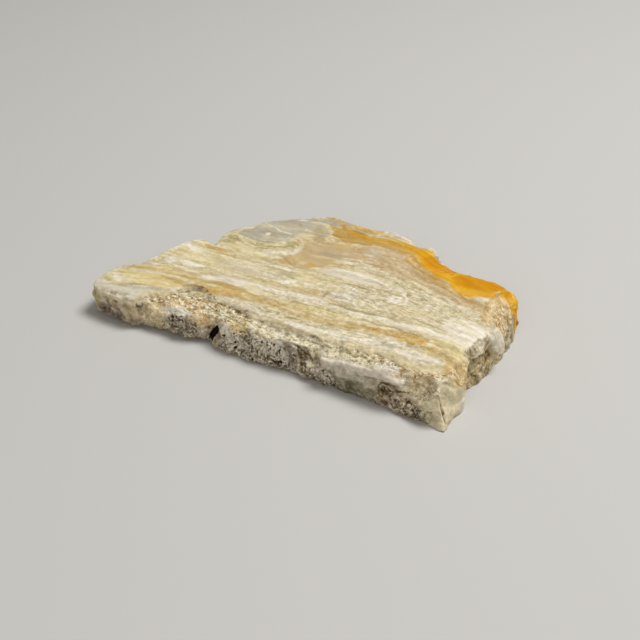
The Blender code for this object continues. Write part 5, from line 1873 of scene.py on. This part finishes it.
    def _granular(self, tree: NodeTree, colour: NodeSocket, given: Given) -> NodeSocket:
        """Makes sugary grains paler and darker in turn: dashes on the saw cut, dots on crust.

        Args:
            tree: the material's node tree.
            colour: the colour so far.
            given: what the mesh's points give the finish.

        Returns:
            The new colour.
        """
        pitch = {0: given["layers"], 1: self.dash_pitch}
        dashes = add_node(tree, "VectorMath", pitch, operation="MULTIPLY").outputs[0]
        pitch = {0: given["spot"], "Scale": self.grain_pitch}
        dots = add_node(tree, "VectorMath", pitch, operation="SCALE").outputs[0]
        mix = {SHARE: given["crust"], UNDER_PLACE: dashes, OVER_PLACE: dots}
        place = add_node(tree, "Mix", mix, data_type="VECTOR").outputs[MIXED_PLACE]
        look = {"Vector": place, "Scale": 1.0, "Detail": 4.0, "Roughness": 0.7}
        specks = add_node(tree, "TexNoise", look).outputs["Fac"]
        grain, pale = given["grain"], linear(self.speck_and_highlight_pale)
        colour = self._brightened(tree, colour, self.dark_grain, specks, grain)
        return self._laid(tree, colour, pale, self.pale_grain, specks, grain)

    def _painted_shade_and_highlight(self, tree: NodeTree, colour: NodeSocket, given: Given) -> NodeSocket:
        """Paints shade into hollows, as a deeper shade of their own colour, and a paler highlight on edges.

        Args:
            tree: the material's node tree.
            colour: the colour so far.
            given: what the mesh's points give the finish.

        Returns:
            The new colour.
        """
        look = {"Color": colour, "Gamma": self.painted_shade_gamma}
        deeper = add_node(tree, "Gamma", look).outputs[0]
        colour = self._laid(tree, colour, deeper, self.hollow_painted_shade, given["high"])
        return self._laid(tree, colour, linear(self.speck_and_highlight_pale), self.edge, given["high"])

    def _dirtied_and_shaded(self, tree: NodeTree, colour: NodeSocket, given: Given) -> NodeSocket:
        """Lays mud in pores and cracks, and near-black at the bottom of the deepest: soil and painted
        shade.

        Args:
            tree: the material's node tree.
            colour: the colour so far.
            given: what the mesh's points give the finish.

        Returns:
            The new colour.
        """
        colour = self._laid(tree, colour, linear(self.mud), self.muddy, given["dirt"])
        return self._laid(tree, colour, linear(self.soil_and_shade), self.soiled_and_shaded, given["dirt"])

    def _fine_relief(self, tree: NodeTree, given: Given) -> NodeSocket:
        """Makes relief finer than the mesh: sugary grains on rough breaks.

        Args:
            tree: the material's node tree.
            given: what the mesh's points give the finish.

        Returns:
            The normal.
        """
        look = {"Vector": given["spot"], "Scale": self.grain_pitch, "Detail": 4.0, "Roughness": 0.65}
        sugar = add_node(tree, "TexNoise", look).outputs["Fac"]
        strength = add_node(tree, "MapRange", self.bump.over(given["grain"])).outputs[0]
        look = {"Height": sugar, "Strength": strength, "Distance": self.bump_height}
        return add_node(tree, "Bump", look).outputs["Normal"]


@dataclass(frozen=True)
class Lamp:
    """A square soft lamp: where it hangs and its side in metres, and its power in watts."""

    name: str
    place: Triple
    side: float
    power: float


@dataclass
class Studio:
    """The pale table, the soft lights and the camera at the photograph's angle."""

    LAMPS: ClassVar[tuple[Lamp, ...]] = (
        Lamp("key", (0.17, 0.13, 0.47), 0.20, 2.19),
        Lamp("fill", (0.08, -0.42, 0.24), 0.30, 0.36),
    )

    elevation: float = math.radians(35.0)
    azimuth: float = math.radians(29.26)
    distance: float = 172.9 * MM
    aim: Triple = (1.79 * MM, -2.79 * MM, 0.0)
    field_of_view: float = math.radians(32.0)
    nearest_seen: float = 5.0 * MM
    # Matt grey-white board, which gives the eye a quiet ground and soft shadows
    table_side: float = 4.0
    table_colour: str = "C9C7C3"
    table_roughness: float = 0.9
    room_colour: str = "E4E1DA"
    room_strength: float = 0.30

    def build(self) -> None:
        """Makes the table, the room's light, the lamps and the camera."""
        self._table()
        self._room()
        for lamp in self.LAMPS:
            self._hang(lamp)
        self._camera()
        bpy.context.scene.view_settings.view_transform = "Standard"

    def _table(self) -> None:
        """Makes the plain pale table top that the slice lies on."""
        table = bmesh.new()
        bmesh.ops.create_grid(table, x_segments=1, y_segments=1, size=self.table_side / 2)
        mesh = bpy.data.meshes.new("table_top")
        table.to_mesh(mesh)
        table.free()
        material = bpy.data.materials.new("matt_board")
        material.use_nodes = True
        shader = material.node_tree.nodes["Principled BSDF"]
        shader.inputs["Base Color"].default_value = linear(self.table_colour)
        shader.inputs["Roughness"].default_value = self.table_roughness
        mesh.materials.append(material)
        top = bpy.data.objects.new("table_top", mesh)
        bpy.context.scene.collection.objects.link(top)

    def _room(self) -> None:
        """Sets the even light of the room."""
        room = bpy.data.worlds.new("room")
        room.use_nodes = True
        light = room.node_tree.nodes["Background"]
        light.inputs["Color"].default_value = linear(self.room_colour)
        light.inputs["Strength"].default_value = self.room_strength
        bpy.context.scene.world = room

    def _hang(self, lamp: Lamp) -> None:
        """Adds a lamp that points at the slice.

        Args:
            lamp: its place, side and power.
        """
        light = bpy.data.lights.new(lamp.name, "AREA")
        light.size = lamp.side
        light.energy = lamp.power
        holder = bpy.data.objects.new(lamp.name, light)
        holder.location = lamp.place
        beam = Vector(self.aim) - Vector(lamp.place)
        holder.rotation_euler = beam.to_track_quat("-Z", "Y").to_euler()
        bpy.context.scene.collection.objects.link(holder)

    def _camera(self) -> None:
        """Adds the camera and makes it the scene's own."""
        lens = bpy.data.cameras.new("camera")
        lens.angle = self.field_of_view
        lens.clip_start = self.nearest_seen
        holder = bpy.data.objects.new("camera", lens)
        flat = math.cos(self.elevation)
        across = math.sin(self.azimuth) * flat
        forward = math.cos(self.azimuth) * flat
        arm = Vector((across, -forward, math.sin(self.elevation)))
        holder.location = Vector(self.aim) + arm * self.distance
        holder.rotation_euler = (-arm).to_track_quat("-Z", "Y").to_euler()
        bpy.context.scene.collection.objects.link(holder)
        bpy.context.scene.camera = holder


def main() -> None:
    """Builds the stone and the studio."""
    logging.basicConfig(level=logging.INFO, format="%(name)s: %(message)s")
    stone = OpalStone().build()
    triangles = sum(len(face.vertices) - 2 for face in stone.data.polygons)
    log.info("%s: %d points, %d triangles", stone.name, len(stone.data.vertices), triangles)
    Studio().build()
    log.info("studio built")


if __name__ == "__main__":
    main()
